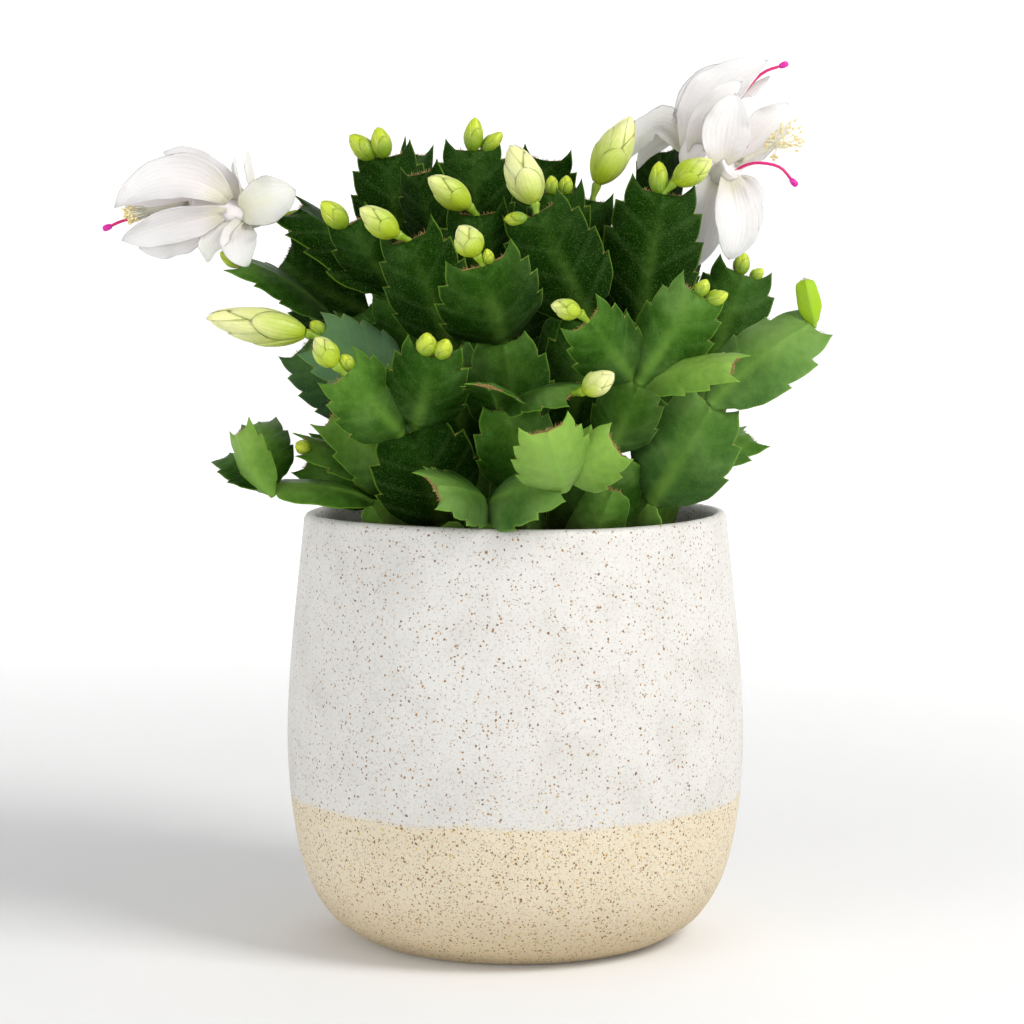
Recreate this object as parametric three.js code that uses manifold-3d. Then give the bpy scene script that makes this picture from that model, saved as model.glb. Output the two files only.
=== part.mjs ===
// A Christmas cactus in flower, planted in a stoneware pot. Millimetres, +Z up.
// The origin is the centre of the pot's foot, on the surface it stands on. The viewer looks along +Y.
import * as THREE from "three";
import { mergeVertices } from "three/addons/utils/BufferGeometryUtils.js";
import Module from "manifold-3d";

const wasm = await Module();
wasm.setup();

// Driving dimensions of the pot, which is thrown in stoneware and half dipped in white glaze.
const POT_HEIGHT = 140;
const POT_SIDES = 30;
const FOOT_RADIUS = 47;
const RIM_OUTER = 69;
const RIM_INNER = 65.4;
const FLOOR_TOP = 8;
const FLOOR_RADIUS = 52;
const OUTER_WALL = [
  [52, 1.8],
  [62, 9],
  [69.6, 23],
  [73.6, 43],
  [75, 66],
  [73.6, 94],
];
const INNER_WALL = [
  [67.4, 119],
  [70.4, 72],
  [66.4, 32],
];

// The potting mix fills the pot to about 2 cm below the rim.
const GAP = 0.35;
const SOIL_EDGE = 119;
const SOIL_TOP = 122;
const HOLE_BOTTOM = 108;
const STALK_RADIUS = 2.2;
const HOLE_RADIUS = 2.7;
const STALK_SIDES = 5;
const SOIL_SIDES = 16;
const SOIL_CLEARANCE = 0.6;

// Each flat stem joint: bowed along its rib, its margins bent back, thick at the rib and thin at the edge.
const BOW = 0.07;
const CUP = 0.1;
const RIB_HALF = 1.25;
const EDGE_HALF = 0.4;
const SHOOT_WIDTH = 10;
const OLD_WIDTH = 20;
const BROAD_WIDTH = 24;
const NECK_HALF = 0.45;
const NECK_SINK = 1.6;
const SHARE_STEP = 0.15;

// One side of a joint's outline as [share of the length, share of the half width]: two teeth and a horn.
const TOOTHED = {
  edge: [
    [0, 0.12],
    [0.2, 0.72],
    [0.5, 1],
    [0.51, 0.85],
    [0.78, 0.93],
    [0.785, 0.72],
    [1.1, 0.6],
    [0.99, 0.33],
  ],
  rib: [0.25, 0.52, 0.8],
  ribOf: [0, 0, 1, 1, 2, 2, 2, 2],
};
// A joint with one tooth and a horn on each side.
const PLAIN = {
  edge: [
    [0, 0.14],
    [0.26, 0.84],
    [0.58, 1],
    [0.6, 0.78],
    [1.08, 0.62],
    [0.98, 0.32],
  ],
  rib: [0.3, 0.72],
  ribOf: [0, 0, 1, 1, 1, 1],
};
// A joint that carries others has lost its horns to them.
const CARRIER = {
  edge: [
    [0, 0.14],
    [0.3, 0.9],
    [0.62, 1],
    [0.65, 0.78],
    [1.02, 0.42],
  ],
  rib: [0.3, 0.74],
  ribOf: [0, 0, 1, 1, 1],
};
// The oldest joints, next to the soil, have worn smooth.
const WORN = {
  edge: [
    [0, 0.16],
    [0.3, 0.9],
    [0.76, 0.85],
    [0.98, 0.3],
  ],
  rib: [0.35, 0.72],
  ribOf: [0, 0, 1, 1],
};

// Rows of a stem: name, the joint that it grows from, its tip x, y, z, its width,
// and where its broad side looks: compass degrees (0 the viewer, 90 the right) and degrees above level.
const STEMS = {
  "stem_right_low": [
    ["root", "", 31, -27, 126, 0, 0, 0],
    ["r1", "root", 43, -45, 147, 20, -10, 30],
    ["r2", "r1", 61, -52, 178, 33, 0, 10],
    ["r3", "r2", 93, -40, 202, 27, -5, 35],
    ["r6", "r3", 90, -40, 216, 8, 0, 0],
  ],
  "stem_right_mid": [
    ["root", "", 20, -36, 125, 0, 0, 0],
    ["q1", "root", 30, -50, 163, 20, 10, 10],
    ["q2", "q1", 38, -64, 185, 22, 5, 20],
    ["q3a", "q2", 21, -80, 204, 24, -15, 25],
    ["q3b", "q2", 56, -60, 212, 25, -5, 5],
    ["q3c", "q2", 66, -78, 190, 21, -5, 55],
  ],
  "stem_right_side": [
    ["root", "", 38, -6, 124, 0, 0, 0],
    ["s1", "root", 50, -8, 153, 22, 60, 10],
    ["s2", "s1", 62, -14, 185, 26, 20, 0],
    ["s3", "s1", 78, 6, 164, 20, 30, 60],
    ["r5", "s2", 74, -5, 218, 29, 0, 0],
  ],
  "stem_tall_right": [
    ["root", "", 20, -10, 124, 0, 0, 0],
    ["c1a", "root", 30, -8, 162, 20, 20, 0],
    ["c1b", "c1a", 40, -24, 203, 22, 10, 0],
    ["c1", "c1b", 47, -15, 244, 33, 0, -5],
    ["f1", "c1a", 46, 0, 200, 24, 60, 0],
    ["f2", "f1", 56, 4, 239, 21, 30, 0],
  ],
  "stem_centre_right": [
    ["root", "", 8, -18, 124, 0, 0, 0],
    ["c2a", "root", 14, -28, 165, 24, 0, 0],
    ["c2b", "c2a", 23, -42, 204, 26, 0, 0],
    ["c2", "c2b", 6, -35, 237, 31, 0, 5],
    ["e1", "c2a", 16, -12, 205, 18, 0, 0],
    ["e2", "e1", 14, -10, 244, 24, 0, 0],
    ["e3", "e1", 25, -4, 242, 20, 0, 0],
  ],
  "stem_centre_front": [
    ["root", "", 0, -28, 124, 0, 0, 0],
    ["m3a", "root", 1, -41, 167, 20, 0, 0],
    ["m3", "m3a", -4, -52, 197, 29, 0, 10],
    ["c3", "m3", -10, -70, 221, 34, 0, 20],
  ],
  "stem_centre_left": [
    ["root", "", -8, -20, 124, 0, 0, 0],
    ["c4a", "root", -14, -32, 160, 24, 0, 0],
    ["c4b", "c4a", -20, -42, 195, 21, 0, 0],
    ["c4", "c4b", -33, -48, 229, 28, -10, 5],
    ["c5a", "c4a", -10, -26, 200, 26, 0, 0],
    ["c5", "c5a", -12, -30, 237, 28, 0, 0],
  ],
  "stem_crown": [
    ["root", "", -4, 2, 124, 0, 0, 0],
    ["v1", "root", -6, 0, 160, 22, 0, 0],
    ["v2", "v1", -9, -4, 194, 22, 0, 0],
    ["v3", "v2", -12, -3, 226, 24, 0, 0],
    ["c6", "v3", -14, -5, 258, 27, 0, 0],
    ["c7a", "v2", -23, -12, 222, 22, 0, 0],
    ["c7", "c7a", -31, -16, 250, 22, -30, 0],
  ],
  "stem_crown_left": [
    ["root", "", -14, 8, 124, 0, 0, 0],
    ["g1", "root", -22, 6, 152, 22, 0, 0],
    ["g2", "g1", -31, 3, 184, 24, 0, 0],
    ["g3", "g2", -38, 0, 221, 25, 0, 0],
    ["c8", "g3", -42, -4, 256, 27, 0, 0],
    ["l4", "g2", -50, 2, 206, 24, -10, 0],
    ["l3", "l4", -76, 5, 223, 25, -10, -10],
  ],
  "stem_left_mid": [
    ["root", "", -12, -8, 124, 0, 0, 0],
    ["k1", "root", -19, -12, 150, 20, 0, 0],
    ["k2", "k1", -28, -18, 180, 22, 0, 0],
    ["k3", "k2", -40, -20, 212, 23, -20, 20],
    ["l1", "k3", -52, -34, 234, 22, -20, 20],
    ["l2", "k3", -71, -15, 238, 26, -10, 65],
    ["l5a", "k2", -60, -9, 203, 20, 0, 60],
    ["l5", "l5a", -89, -13.5, 221, 20, 0, 65],
  ],
  "stem_left_teal": [
    ["root", "", -19, -21, 124, 0, 0, 0],
    ["h1", "root", -24, -32, 152, 13, -20, 0],
    ["h2", "h1", -36, -41, 184, 17, -20, 0],
    ["l6", "h2", -62, -40, 198, 25, -10, 20],
  ],
  "stem_left_low": [
    ["root", "", -17, -33, 125, 0, 0, 0],
    ["l9a", "root", -23, -43, 140, 14, -10, 0],
    ["l9", "l9a", -33, -58, 170, 35, 0, 15],
    ["l7", "l9", -52, -70, 188, 25, -10, 25],
    ["l8", "l9", -25, -74, 194, 27, 5, 20],
  ],
  "stem_left_side": [
    ["root", "", -30, -18, 124, 0, 0, 0],
    ["n1", "root", -38, -26, 148, 13, -30, 0],
    ["l10a", "n1", -46, -28, 174, 22, -20, 0],
    ["l10", "l10a", -68, -25, 195, 27, -10, 0],
    ["l11", "n1", -58, -48, 174, 20, -20, 40],
    ["l12", "n1", -66, -42, 164, 18, -20, 50],
    ["l13", "n1", -66, -29, 160, 22, -10, 20],
  ],
  "stem_trailing": [
    ["root", "", -34, -34, 126, 0, 0, 0],
    ["t0", "root", -46, -43, 146.5, 12, -20, 40],
    ["t1", "t0", -76, -47, 151, 18, -10, 65],
    ["t2", "t1", -91, -30, 160, 17, 0, 60],
    ["t3", "t1", -86, -45, 169, 16, -60, 30],
    ["t4", "t1", -82, -21, 170, 18, 0, 20],
  ],
  "stem_front": [
    ["root", "", -11, -40, 125, 0, 0, 0],
    ["b0", "root", -9, -56, 147, 14, 0, 50],
    ["b1", "b0", -25, -74, 153, 25, 0, 40],
    ["b2", "b0", 15, -77, 155, 27, 0, 40],
    ["b3", "b2", 9, -90, 172, 25, 0, 10],
    ["b4", "b2", 30, -86, 167, 20, 0, 10],
  ],
  "stem_front_fan": [
    ["root", "", 4, -36, 125, 0, 0, 0],
    ["m0", "root", 3, -43, 150, 13, 0, 0],
    ["m00", "m0", -3, -59, 177, 27, 0, 20],
    ["m1", "m00", -8, -84, 184, 21, 30, 70],
    ["m2", "m00", 18, -78, 182, 22, 0, 60],
  ],
  "stem_front_right": [
    ["root", "", 20, -47, 125, 0, 0, 0],
    ["d1", "root", 30, -55, 152, 19, 10, 10],
  ],
};

// Green buds on the stems: the joint they sit on, place along its tip edge from -1 (left) to 1,
// lean from the joint's axis to its right in degrees, length, width.
// The tip edge is a share of the joint's width, and its ends fall back a little.
const TIP_EDGE = 0.16;
const TIP_FALL = 0.06;
const GREEN_BUDS = [
  ["c8", -0.8, -40, 10, 6.5],
  ["c8", -0.1, -6, 9, 6.4],
  ["c6", 0, 8, 9.8, 5.8],
  ["c6", 0.7, 50, 7.6, 4.5],
  ["l1", -0.6, -10, 10.5, 6.8],
  ["c3", 0.4, 0, 4, 3],
  ["e2", -0.5, -5, 5, 4],
  ["e2", 0.5, 5, 5, 4.2],
  ["c2", -0.6, -60, 6.2, 4.5],
  ["c1", -0.2, -8, 9.4, 5.6],
  ["r5", -0.2, -8, 6.4, 5],
  ["r5", 0.7, 25, 4, 3.6],
  ["q3b", 0.1, -5, 4.6, 4.2],
  ["q3b", 0.8, 35, 6, 4.6],
  ["l6", 0.5, 10, 4.2, 4],
  ["l7", 0.6, 10, 4.2, 4],
  ["l8", -0.4, -8, 6.4, 5.8],
  ["l8", 0.5, 12, 5.8, 5.2],
  ["l12", 0, -30, 4.4, 4.2],
  ["l5", 0, -5, 6.8, 4.6],
];

// Each bloom stands on a green ovary, which tapers to a short stalk on the tip of a stem joint.
const SEAT_RADIUS = 1.9;
const SEAT_STALK_RADIUS = 1.1;

// Buds about to open: name, joint that carries it, base, tip, width.
const BLOOM_BUDS = [
  ["bloom_bud_1", "c5", [-14.5, -32, 238.6], [-27.2, -39, 247.4], 8.9],
  ["bloom_bud_2", "c4", [-36.4, -49.8, 229.4], [-47.7, -55, 237.6], 8.2],
  ["bloom_bud_3", "c3", [-11.5, -71, 223], [-17, -72, 232], 8.6],
  ["bloom_bud_4", "c2", [6.2, -34, 239.4], [-1.6, -32, 257.8], 11.2],
  ["bloom_bud_5", "e3", [26.4, -4, 246.4], [37.6, -4, 268.1], 11.6],
  ["bloom_bud_6", "c1", [50.6, -16, 246.4], [62.7, -17, 253.6], 8.2],
  ["bloom_bud_7", "l7", [-54.4, -71, 189.8], [-60.4, -72, 198.6], 7.3],
  ["bloom_bud_8", "l6", [-65.4, -41, 199], [-96.4, -43, 204], 11],
  ["bloom_bud_9", "q3a", [19.2, -82, 206], [10.4, -84, 208.4], 5.8],
  ["bloom_bud_10", "m2", [20.2, -80.6, 182.4], [29.4, -83, 188], 7.2],
];

// The open flowers. A petal row is the points at its root, middle and tip, its width,
// and where its inner face looks: compass degrees (0 the viewer, 90 the right) and degrees above level.
const FLOWERS = {
  "flower_left": {
    carrier: "l2",
    tube: [[-80.6, -15, 234.6], [-103.5, -15.6, 239], 4, 3.2],
    petals: [
      [[-85.4, -16, 237.8], [-100, -17, 250], [-112.8, -15, 256], 9, -20, 40],
      [[-101, -18, 240], [-113.5, -20.5, 243.5], [-128.3, -19, 237.5], 14, -10, 10],
      [[-101, -18, 238], [-112, -20, 233.5], [-127, -18.5, 228.3], 9, 0, -30],
      [[-100, -14, 237], [-109, -14, 230], [-121, -13, 225], 12, 10, -40],
      [[-100.5, -13.6, 239.4], [-112, -8, 243.5], [-126, -8, 238.5], 13, 190, 10],
      [[-100, -13.4, 238], [-110, -8.5, 233], [-122, -7, 228], 11, 180, -30],
      [[-84.4, -17, 236.8], [-77, -20.5, 240], [-70.4, -18.5, 243.4], 13, 0, 10],
      [[-86, -16, 237], [-89, -16.5, 247.5], [-90, -15, 254.7], 7, -75, 0],
      [[-83.5, -14, 237], [-84.6, -12.5, 248.5], [-86.2, -12, 256.9], 7, -110, 0],
      [[-87, -18, 235], [-94.5, -22.5, 229.5], [-98.5, -22.5, 221], 10, -30, 20],
      [[-86, -18, 235], [-87.5, -25.5, 227.5], [-84.5, -26, 219.5], 9, 0, 0],
      [[-83.6, -13.2, 236.6], [-77.5, -5, 241], [-73, -3, 244], 10, 180, 20],
    ],
    stamens: [[-104.2, -15.6, 240], [-122, -17, 237.6], 4, 1.5],
    pistil: [[-104.2, -15.6, 237.2], [-114, -16.5, 236], [-124, -17.6, 234.6], [-130, -18, 232.2]],
  },
  "flower_upper": {
    carrier: "c1",
    tube: [[55.2, -3.6, 251.6], [60, 1, 262], 4, 4.4],
    petals: [
      [[57, -1, 255], [61.4, -4, 275], [82, 0, 286.8], 20, -25, 10],
      [[60, 3, 257], [70.5, 6, 272], [83.5, 6, 281], 15, 100, -20],
      [[57, 3, 257], [62.5, 11, 274], [80, 10, 284.5], 18, 190, 10],
      [[56.4, 2, 256.6], [46, 6, 264.8], [32.6, 9, 249.4], 12, -20, 70],
      [[56, 2, 256], [50, 12, 262], [40, 18, 252], 11, 200, 60],
      [[58, -2, 254], [62, -9, 268], [73, -9, 279], 11, 20, 10],
    ],
    stamens: [[60, 0.4, 262.8], [76, 3, 284], 4, 1.5],
    pistil: [[61.6, 3.4, 262.6], [71.5, 0.5, 273], [79.6, 1.5, 281.8], [86.8, 2, 284.8]],
  },
  "flower_lower": {
    carrier: "f2",
    tube: [[63.4, -3, 247.4], [70, -9, 252], 3.8, 4.4],
    petals: [
      [[67, -10, 252], [67.5, -14, 263], [70.5, -13.5, 275], 16, 0, 10],
      [[69.2, -7.4, 251.2], [79.5, -9, 263], [88.5, -7, 272], 11, 20, -10],
      [[66.6, -7, 250], [61.5, -9, 235], [58.5, -6.5, 219.6], 14, -10, 0],
      [[68.5, -8.5, 250], [70.5, -16.5, 234], [68.5, -15, 221.4], 16, 15, 0],
      [[70.5, -7, 249], [77.5, -6, 240], [75, -3.5, 227], 12, 60, 10],
      [[68.6, -6, 249.4], [75, 2, 239], [73, 7, 226.5], 12, 150, 0],
    ],
    stamens: [[71.2, -8.6, 252.8], [90, -12, 262], 5, 3],
    pistil: [[70.2, -10.7, 250.4], [76, -16, 252.6], [84, -17, 251.4], [88.6, -17, 246.6]],
  },
};

// Petals stand in lapped rows; threads round a column turn by the golden angle from one to the next.
const BUD_SIDES = 9;
const BUD_LAP = 0.09;
const BUD_PROFILE = [
  [0.45, 0.02],
  [0.86, 0.2],
  [1, 0.45],
  [0.74, 0.75],
  [0.34, 0.93],
];
const PETAL_HALF = 0.35;
const PETAL_CUP = 0.16;
const PETAL_ROWS = [
  [0, 0.26],
  [0.4, 0.92],
  [0.74, 0.86],
];
const COLUMN_SHARE = 0.78;
const THREAD_FOOT = 0.62;
const THREAD_STAGGER = 0.6;
const GOLDEN_TURN = 2.4;
const PISTIL_RADIUS = 0.55;
const STIGMA_RADIUS = 1.4;

// Stems of the far side, by a rule: an outer ring that arches out and an upright ring inside it.
// Each ring has the first and last direction, the roots' distance from the centre, the climb of its joints in
// degrees, and the degrees by which forks and low shoots turn aside.
const FAR_RINGS = [
  {
    name: "stem_far_outer_",
    from: 32,
    to: 148,
    count: 5,
    start: 27,
    climb: [76, 56, 28],
    fork: 7,
    shoot: -10,
  },
  {
    name: "stem_far_inner_",
    from: 42,
    to: 142,
    count: 3,
    start: 21,
    climb: [84, 76, 70, 74],
    fork: 13,
    shoot: 0,
  },
];
const FAR_LENGTH = 35;
const FAR_WIDTHS = [12, 22, 26, 26];
// How far a side shoot's tip lies beyond its parent's tip, outwards and upwards, its width and its lift.
const FORK = { out: 12, up: 28, width: 23, lift: 20 };
const LOW_SHOOT = { out: 27, up: 16, width: 18, lift: 60 };

// Colours and finishes.
const LEAF_GREEN = 0x4f7a2c;
const BUD_GREEN = 0xc9cf6e;
const PETAL_WHITE = 0xf1edea;
const STAMEN_CREAM = 0xf0e2b4;
const PISTIL_PINK = 0xe0105f;
const GLAZE_WHITE = 0xe9e5df;
const SOIL_BROWN = 0x33241a;

function vector(p) {
  return new THREE.Vector3(...p);
}

// The way that a broad side looks: compass degrees (0 the viewer, 90 the right) and degrees above level.
function facing(compass, above) {
  const a = THREE.MathUtils.degToRad(compass);
  const e = THREE.MathUtils.degToRad(above);
  return new THREE.Vector3(Math.sin(a) * Math.cos(e), -Math.cos(a) * Math.cos(e), Math.sin(e));
}

// A geometry as a solid that can be joined and cut.
function solidOf(geometry) {
  geometry.deleteAttribute("normal");
  geometry.deleteAttribute("uv");
  const merged = mergeVertices(geometry, 1e-3);
  return new wasm.Manifold(
    new wasm.Mesh({
      numProp: 3,
      vertProperties: merged.attributes.position.array,
      triVerts: new Uint32Array(merged.index.array),
    }),
  );
}

// A solid from its corners and its triangles, which run anticlockwise from outside.
function closedSolid(corners, triangles) {
  return new wasm.Manifold(
    new wasm.Mesh({
      numProp: 3,
      vertProperties: new Float32Array(corners.flatMap((p) => [p.x, p.y, p.z])),
      triVerts: new Uint32Array(triangles.flat()),
    }),
  );
}

function join(solids) {
  return solids.reduce((whole, part) => whole.add(part));
}

// A thin sheet with two like faces: points on its middle surface, the normal and half thickness at each,
// triangles anticlockwise from the front, and the rim in the same sense.
function sheet(points, normals, halves, triangles, rim) {
  const n = points.length;
  const front = points.map((p, i) => p.clone().addScaledVector(normals[i], halves[i]));
  const back = points.map((p, i) => p.clone().addScaledVector(normals[i], -halves[i]));
  const faces = [];
  for (const [a, b, c] of triangles) faces.push([a, b, c], [c + n, b + n, a + n]);
  rim.forEach((a, i) => {
    const b = rim[(i + 1) % rim.length];
    faces.push([b, a, a + n], [b, a + n, b + n]);
  });
  return closedSolid([...front, ...back], faces);
}

// A round form turned on the line from one point to another, from points [radius, share of the line].
function turned(profile, from, to, sides) {
  const axis = to.clone().sub(from);
  const length = axis.length();
  const outline = profile.map(([r, share]) => new THREE.Vector2(r, share * length));
  const geometry = new THREE.LatheGeometry(outline, sides);
  const turn = new THREE.Quaternion().setFromUnitVectors(new THREE.Vector3(0, 1, 0), axis.normalize());
  geometry.applyMatrix4(new THREE.Matrix4().compose(from, turn, new THREE.Vector3(1, 1, 1)));
  return solidOf(geometry);
}

// The directions of a flat joint: its axis, its broad side's normal, its right side.
function frameOf(base, tip, face, lift) {
  const axis = tip.clone().sub(base).normalize();
  const normal = facing(face, lift);
  normal.addScaledVector(axis, -normal.dot(axis)).normalize();
  return { axis, normal, side: axis.clone().cross(normal), length: tip.distanceTo(base) };
}

// A point of a flat joint's middle surface, at a share of its length and of its half width.
function bladePoint(base, frame, width, along, across) {
  const rise = BOW * frame.length * 4 * Math.max(along, 0) * (1 - along) - CUP * width * across * across;
  return base
    .clone()
    .addScaledVector(frame.axis, along * frame.length)
    .addScaledVector(frame.side, (across * width) / 2)
    .addScaledVector(frame.normal, rise);
}

// A flat stem joint: two cut margins fanned from the rib.
function joint(base, tip, width, face, lift, cut) {
  const frame = frameOf(base, tip, face, lift);
  const neck = -NECK_SINK / frame.length;
  const point = ([along, across]) => bladePoint(base, frame, width, along || neck, across);
  const ribs = cut.rib.length;
  const count = cut.edge.length;
  const right = cut.edge.map((_, i) => ribs + i);
  const left = cut.edge.map((_, i) => ribs + count + i);
  const points = [
    ...cut.rib.map((along) => point([along, 0])),
    ...cut.edge.map(point),
    ...cut.edge.map(([along, across]) => point([along, -across])),
  ];
  const triangles = [
    [left[0], right[0], 0],
    [right[count - 1], left[count - 1], ribs - 1],
  ];
  for (let i = 0; i + 1 < count; i++) {
    const [a, b] = [cut.ribOf[i], cut.ribOf[i + 1]];
    triangles.push([right[i], right[i + 1], a], [left[i + 1], left[i], a]);
    if (a !== b) triangles.push([a, right[i + 1], b], [left[i + 1], a, b]);
  }
  const halves = points.map((_, i) => (i < ribs ? RIB_HALF : EDGE_HALF));
  halves[right[0]] = NECK_HALF;
  halves[left[0]] = NECK_HALF;
  const rim = [...right, ...left.toReversed()];
  return sheet(points, points.map(() => frame.normal), halves, triangles, rim);
}

// The round stalk from the root hole up to the first joint.
function stalk(root) {
  const foot = new THREE.Vector3(root.x, root.y, HOLE_BOTTOM + GAP);
  const profile = [
    [0, 0],
    [STALK_RADIUS, 0],
    [STALK_RADIUS, 1],
    [0, 1],
  ];
  return turned(profile, foot, root.clone().setZ(root.z + 1), STALK_SIDES);
}

// A small closed bud on a joint's tip edge.
function greenBud(row, spots) {
  const [name, across, lean, length, width] = row;
  const { tip, frame, width: jointWidth } = spots[name];
  const a = THREE.MathUtils.degToRad(lean);
  const way = frame.axis.clone().multiplyScalar(Math.cos(a)).addScaledVector(frame.side, Math.sin(a));
  const base = tip
    .clone()
    .addScaledVector(frame.side, across * TIP_EDGE * jointWidth)
    .addScaledVector(frame.axis, -NECK_SINK)
    .addScaledVector(frame.normal, -TIP_FALL * jointWidth * across * across);
  const profile = [
    [0, 0],
    [width * 0.4, 0.2],
    [width * 0.5, 0.5],
    [0, 1],
  ];
  return turned(profile, base, base.clone().addScaledVector(way, length + NECK_SINK), 5);
}

// The ovary below a bloom: it widens from its stalk at the joint's tip and ends in a low point.
function seat({ tip: jointTip, frame }, base, tip) {
  const axis = tip.clone().sub(base).normalize();
  const form = [
    [0, 0],
    [SEAT_STALK_RADIUS, 0],
    [SEAT_RADIUS, 0.72],
    [0, 1],
  ];
  const inside = jointTip.clone().addScaledVector(frame.axis, -NECK_SINK);
  return turned(form, inside, base.clone().addScaledVector(axis, -GAP), 5);
}

// Where a joint leaves its parent: joints that share a parent stand side by side along its tip edge.
function branchPoint(name, parent, rows, spots) {
  const { tip, frame, width } = spots[parent];
  if (!frame) return tip;
  const along = (row) => vector(row.slice(2, 5)).sub(tip).dot(frame.side);
  const sharing = rows.filter((row) => row[1] === parent).sort((a, b) => along(a) - along(b));
  const rank = sharing.findIndex((row) => row[0] === name) - (sharing.length - 1) / 2;
  return tip.clone().addScaledVector(frame.side, rank * SHARE_STEP * width);
}

// How a joint's margins are cut: the oldest and the smallest are smooth, and the broad outermost
// have all their teeth.
function cutOf(width, parent, carries) {
  if (parent === "root" || width < SHOOT_WIDTH) return WORN;
  if (carries) return width < OLD_WIDTH ? WORN : CARRIER;
  return width < BROAD_WIDTH ? PLAIN : TOOTHED;
}

// The flesh of one stem: its stalk, joints, knuckles, buds and flower ovaries, grown as one.
function stemSolid(stem, rows, spots) {
  const solids = [];
  for (const [name, parent, x, y, z, width, face, lift] of rows) {
    const tip = new THREE.Vector3(x, y, z);
    if (!parent) {
      spots[name] = { tip };
      solids.push(stalk(tip));
      continue;
    }
    const base = branchPoint(name, parent, rows, spots);
    const frame = frameOf(base, tip, face, lift);
    spots[name] = { tip, frame, width };
    const carries = rows.some((row) => row[1] === name);
    solids.push(joint(base, tip, width, face, lift, cutOf(width, parent, carries)));
  }
  for (const row of GREEN_BUDS) {
    if (rows.some(([name]) => name === row[0])) solids.push(greenBud(row, spots));
  }
  for (const [carrier, base, tip] of seats) {
    if (rows.some(([name]) => name === carrier)) solids.push(seat(spots[carrier], base, tip));
  }
  return join(solids);
}

// A bud about to open: a plump form with three lapped tepals, whose radius steps from one to the next
// in a slow spiral: each tepal stands proud at its middle and tucks under its neighbour.
function bloomBud(base, tip, width) {
  const frame = frameOf(base, tip, 0, 0);
  const points = [base];
  for (const [r, share] of BUD_PROFILE) {
    for (let i = 0; i < BUD_SIDES; i++) {
      const angle = (i / BUD_SIDES) * 2 * Math.PI + share;
      const proud = 1 + BUD_LAP * ((i % 3) - 1);
      const out = (r * proud * width) / 2;
      points.push(
        base
          .clone()
          .addScaledVector(frame.axis, share * frame.length)
          .addScaledVector(frame.side, out * Math.cos(angle))
          .addScaledVector(frame.normal, out * Math.sin(angle)),
      );
    }
  }
  points.push(tip);
  const last = points.length - 1;
  const faces = [];
  for (let i = 0; i < BUD_SIDES; i++) {
    const j = (i + 1) % BUD_SIDES;
    faces.push([0, 1 + i, 1 + j], [last, last - BUD_SIDES + j, last - BUD_SIDES + i]);
    for (let ring = 0; ring + 1 < BUD_PROFILE.length; ring++) {
      const [a, b] = [1 + ring * BUD_SIDES + i, 1 + ring * BUD_SIDES + j];
      faces.push([a, a + BUD_SIDES, b], [b, a + BUD_SIDES, b + BUD_SIDES]);
    }
  }
  return closedSolid(points, faces);
}

// A petal: a cupped blade along the curve through its root, middle and tip.
function petal([root, middle, tip, width, face, lift]) {
  const [a, m, c] = [vector(root), vector(middle), vector(tip)];
  const handle = m.clone().multiplyScalar(2).addScaledVector(a, -0.5).addScaledVector(c, -0.5);
  const curve = new THREE.QuadraticBezierCurve3(a, handle, c);
  const look = facing(face, lift);
  const points = [];
  const normals = [];
  for (const [share, wide] of PETAL_ROWS) {
    const axis = curve.getTangent(share);
    const normal = look.clone().addScaledVector(axis, -look.dot(axis)).normalize();
    const side = axis.clone().cross(normal);
    for (const across of [-1, 0, 1]) {
      const point = curve.getPoint(share).addScaledVector(side, (across * wide * width) / 2);
      points.push(point.addScaledVector(normal, PETAL_CUP * wide * width * (across * across - 0.5)));
      normals.push(normal);
    }
  }
  points.push(c);
  normals.push(normals.at(-1));
  const triangles = [];
  for (const row of [0, 3]) {
    for (const b of [row, row + 1]) triangles.push([b, b + 1, b + 4], [b, b + 4, b + 3]);
  }
  triangles.push([6, 7, 9], [7, 8, 9]);
  const rim = [0, 1, 2, 5, 8, 9, 6, 3];
  return sheet(points, normals, points.map(() => PETAL_HALF), triangles, rim);
}

// The petals of an open flower with the tube that they grow from.
function petalsSolid({ tube, petals }) {
  const [from, to, rootRadius, mouthRadius] = tube;
  const profile = [
    [0, 0],
    [rootRadius * 0.55, 0],
    [rootRadius, 0.18],
    [mouthRadius, 0.96],
    [mouthRadius * 0.7, 1],
    [0, 1],
  ];
  return join([turned(profile, vector(from), vector(to), 6), ...petals.map(petal)]);
}

// The stamens: a sheaf bound in one column that opens into threads, each swollen at its end into an anther.
function stamensSolid([from, to, count, spread]) {
  const [root, end] = [vector(from), vector(to)];
  const frame = frameOf(root, end, 0, 0);
  const column = [
    [0, 0],
    [0.8, 0],
    [0.9, 0.7],
    [0, COLUMN_SHARE],
  ];
  const thread = [
    [0, 0],
    [0.4, 0],
    [0.4, 0.66],
    [0.95, 0.8],
    [0, 1],
  ];
  const solids = [turned(column, root, end, 5)];
  for (let i = 0; i < count; i++) {
    const turn = i * GOLDEN_TURN;
    const reach = spread * Math.sqrt((i + 0.5) / count);
    const step = ((i * 5) % 7) * THREAD_STAGGER - 2;
    const outward = frame.side
      .clone()
      .multiplyScalar(Math.cos(turn))
      .addScaledVector(frame.normal, Math.sin(turn));
    const foot = root.clone().lerp(end, THREAD_FOOT).addScaledVector(outward, Math.min(reach, 0.5));
    const top = end.clone().addScaledVector(outward, reach).addScaledVector(frame.axis, step);
    solids.push(turned(thread, foot, top, 3));
  }
  return join(solids);
}

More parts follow.
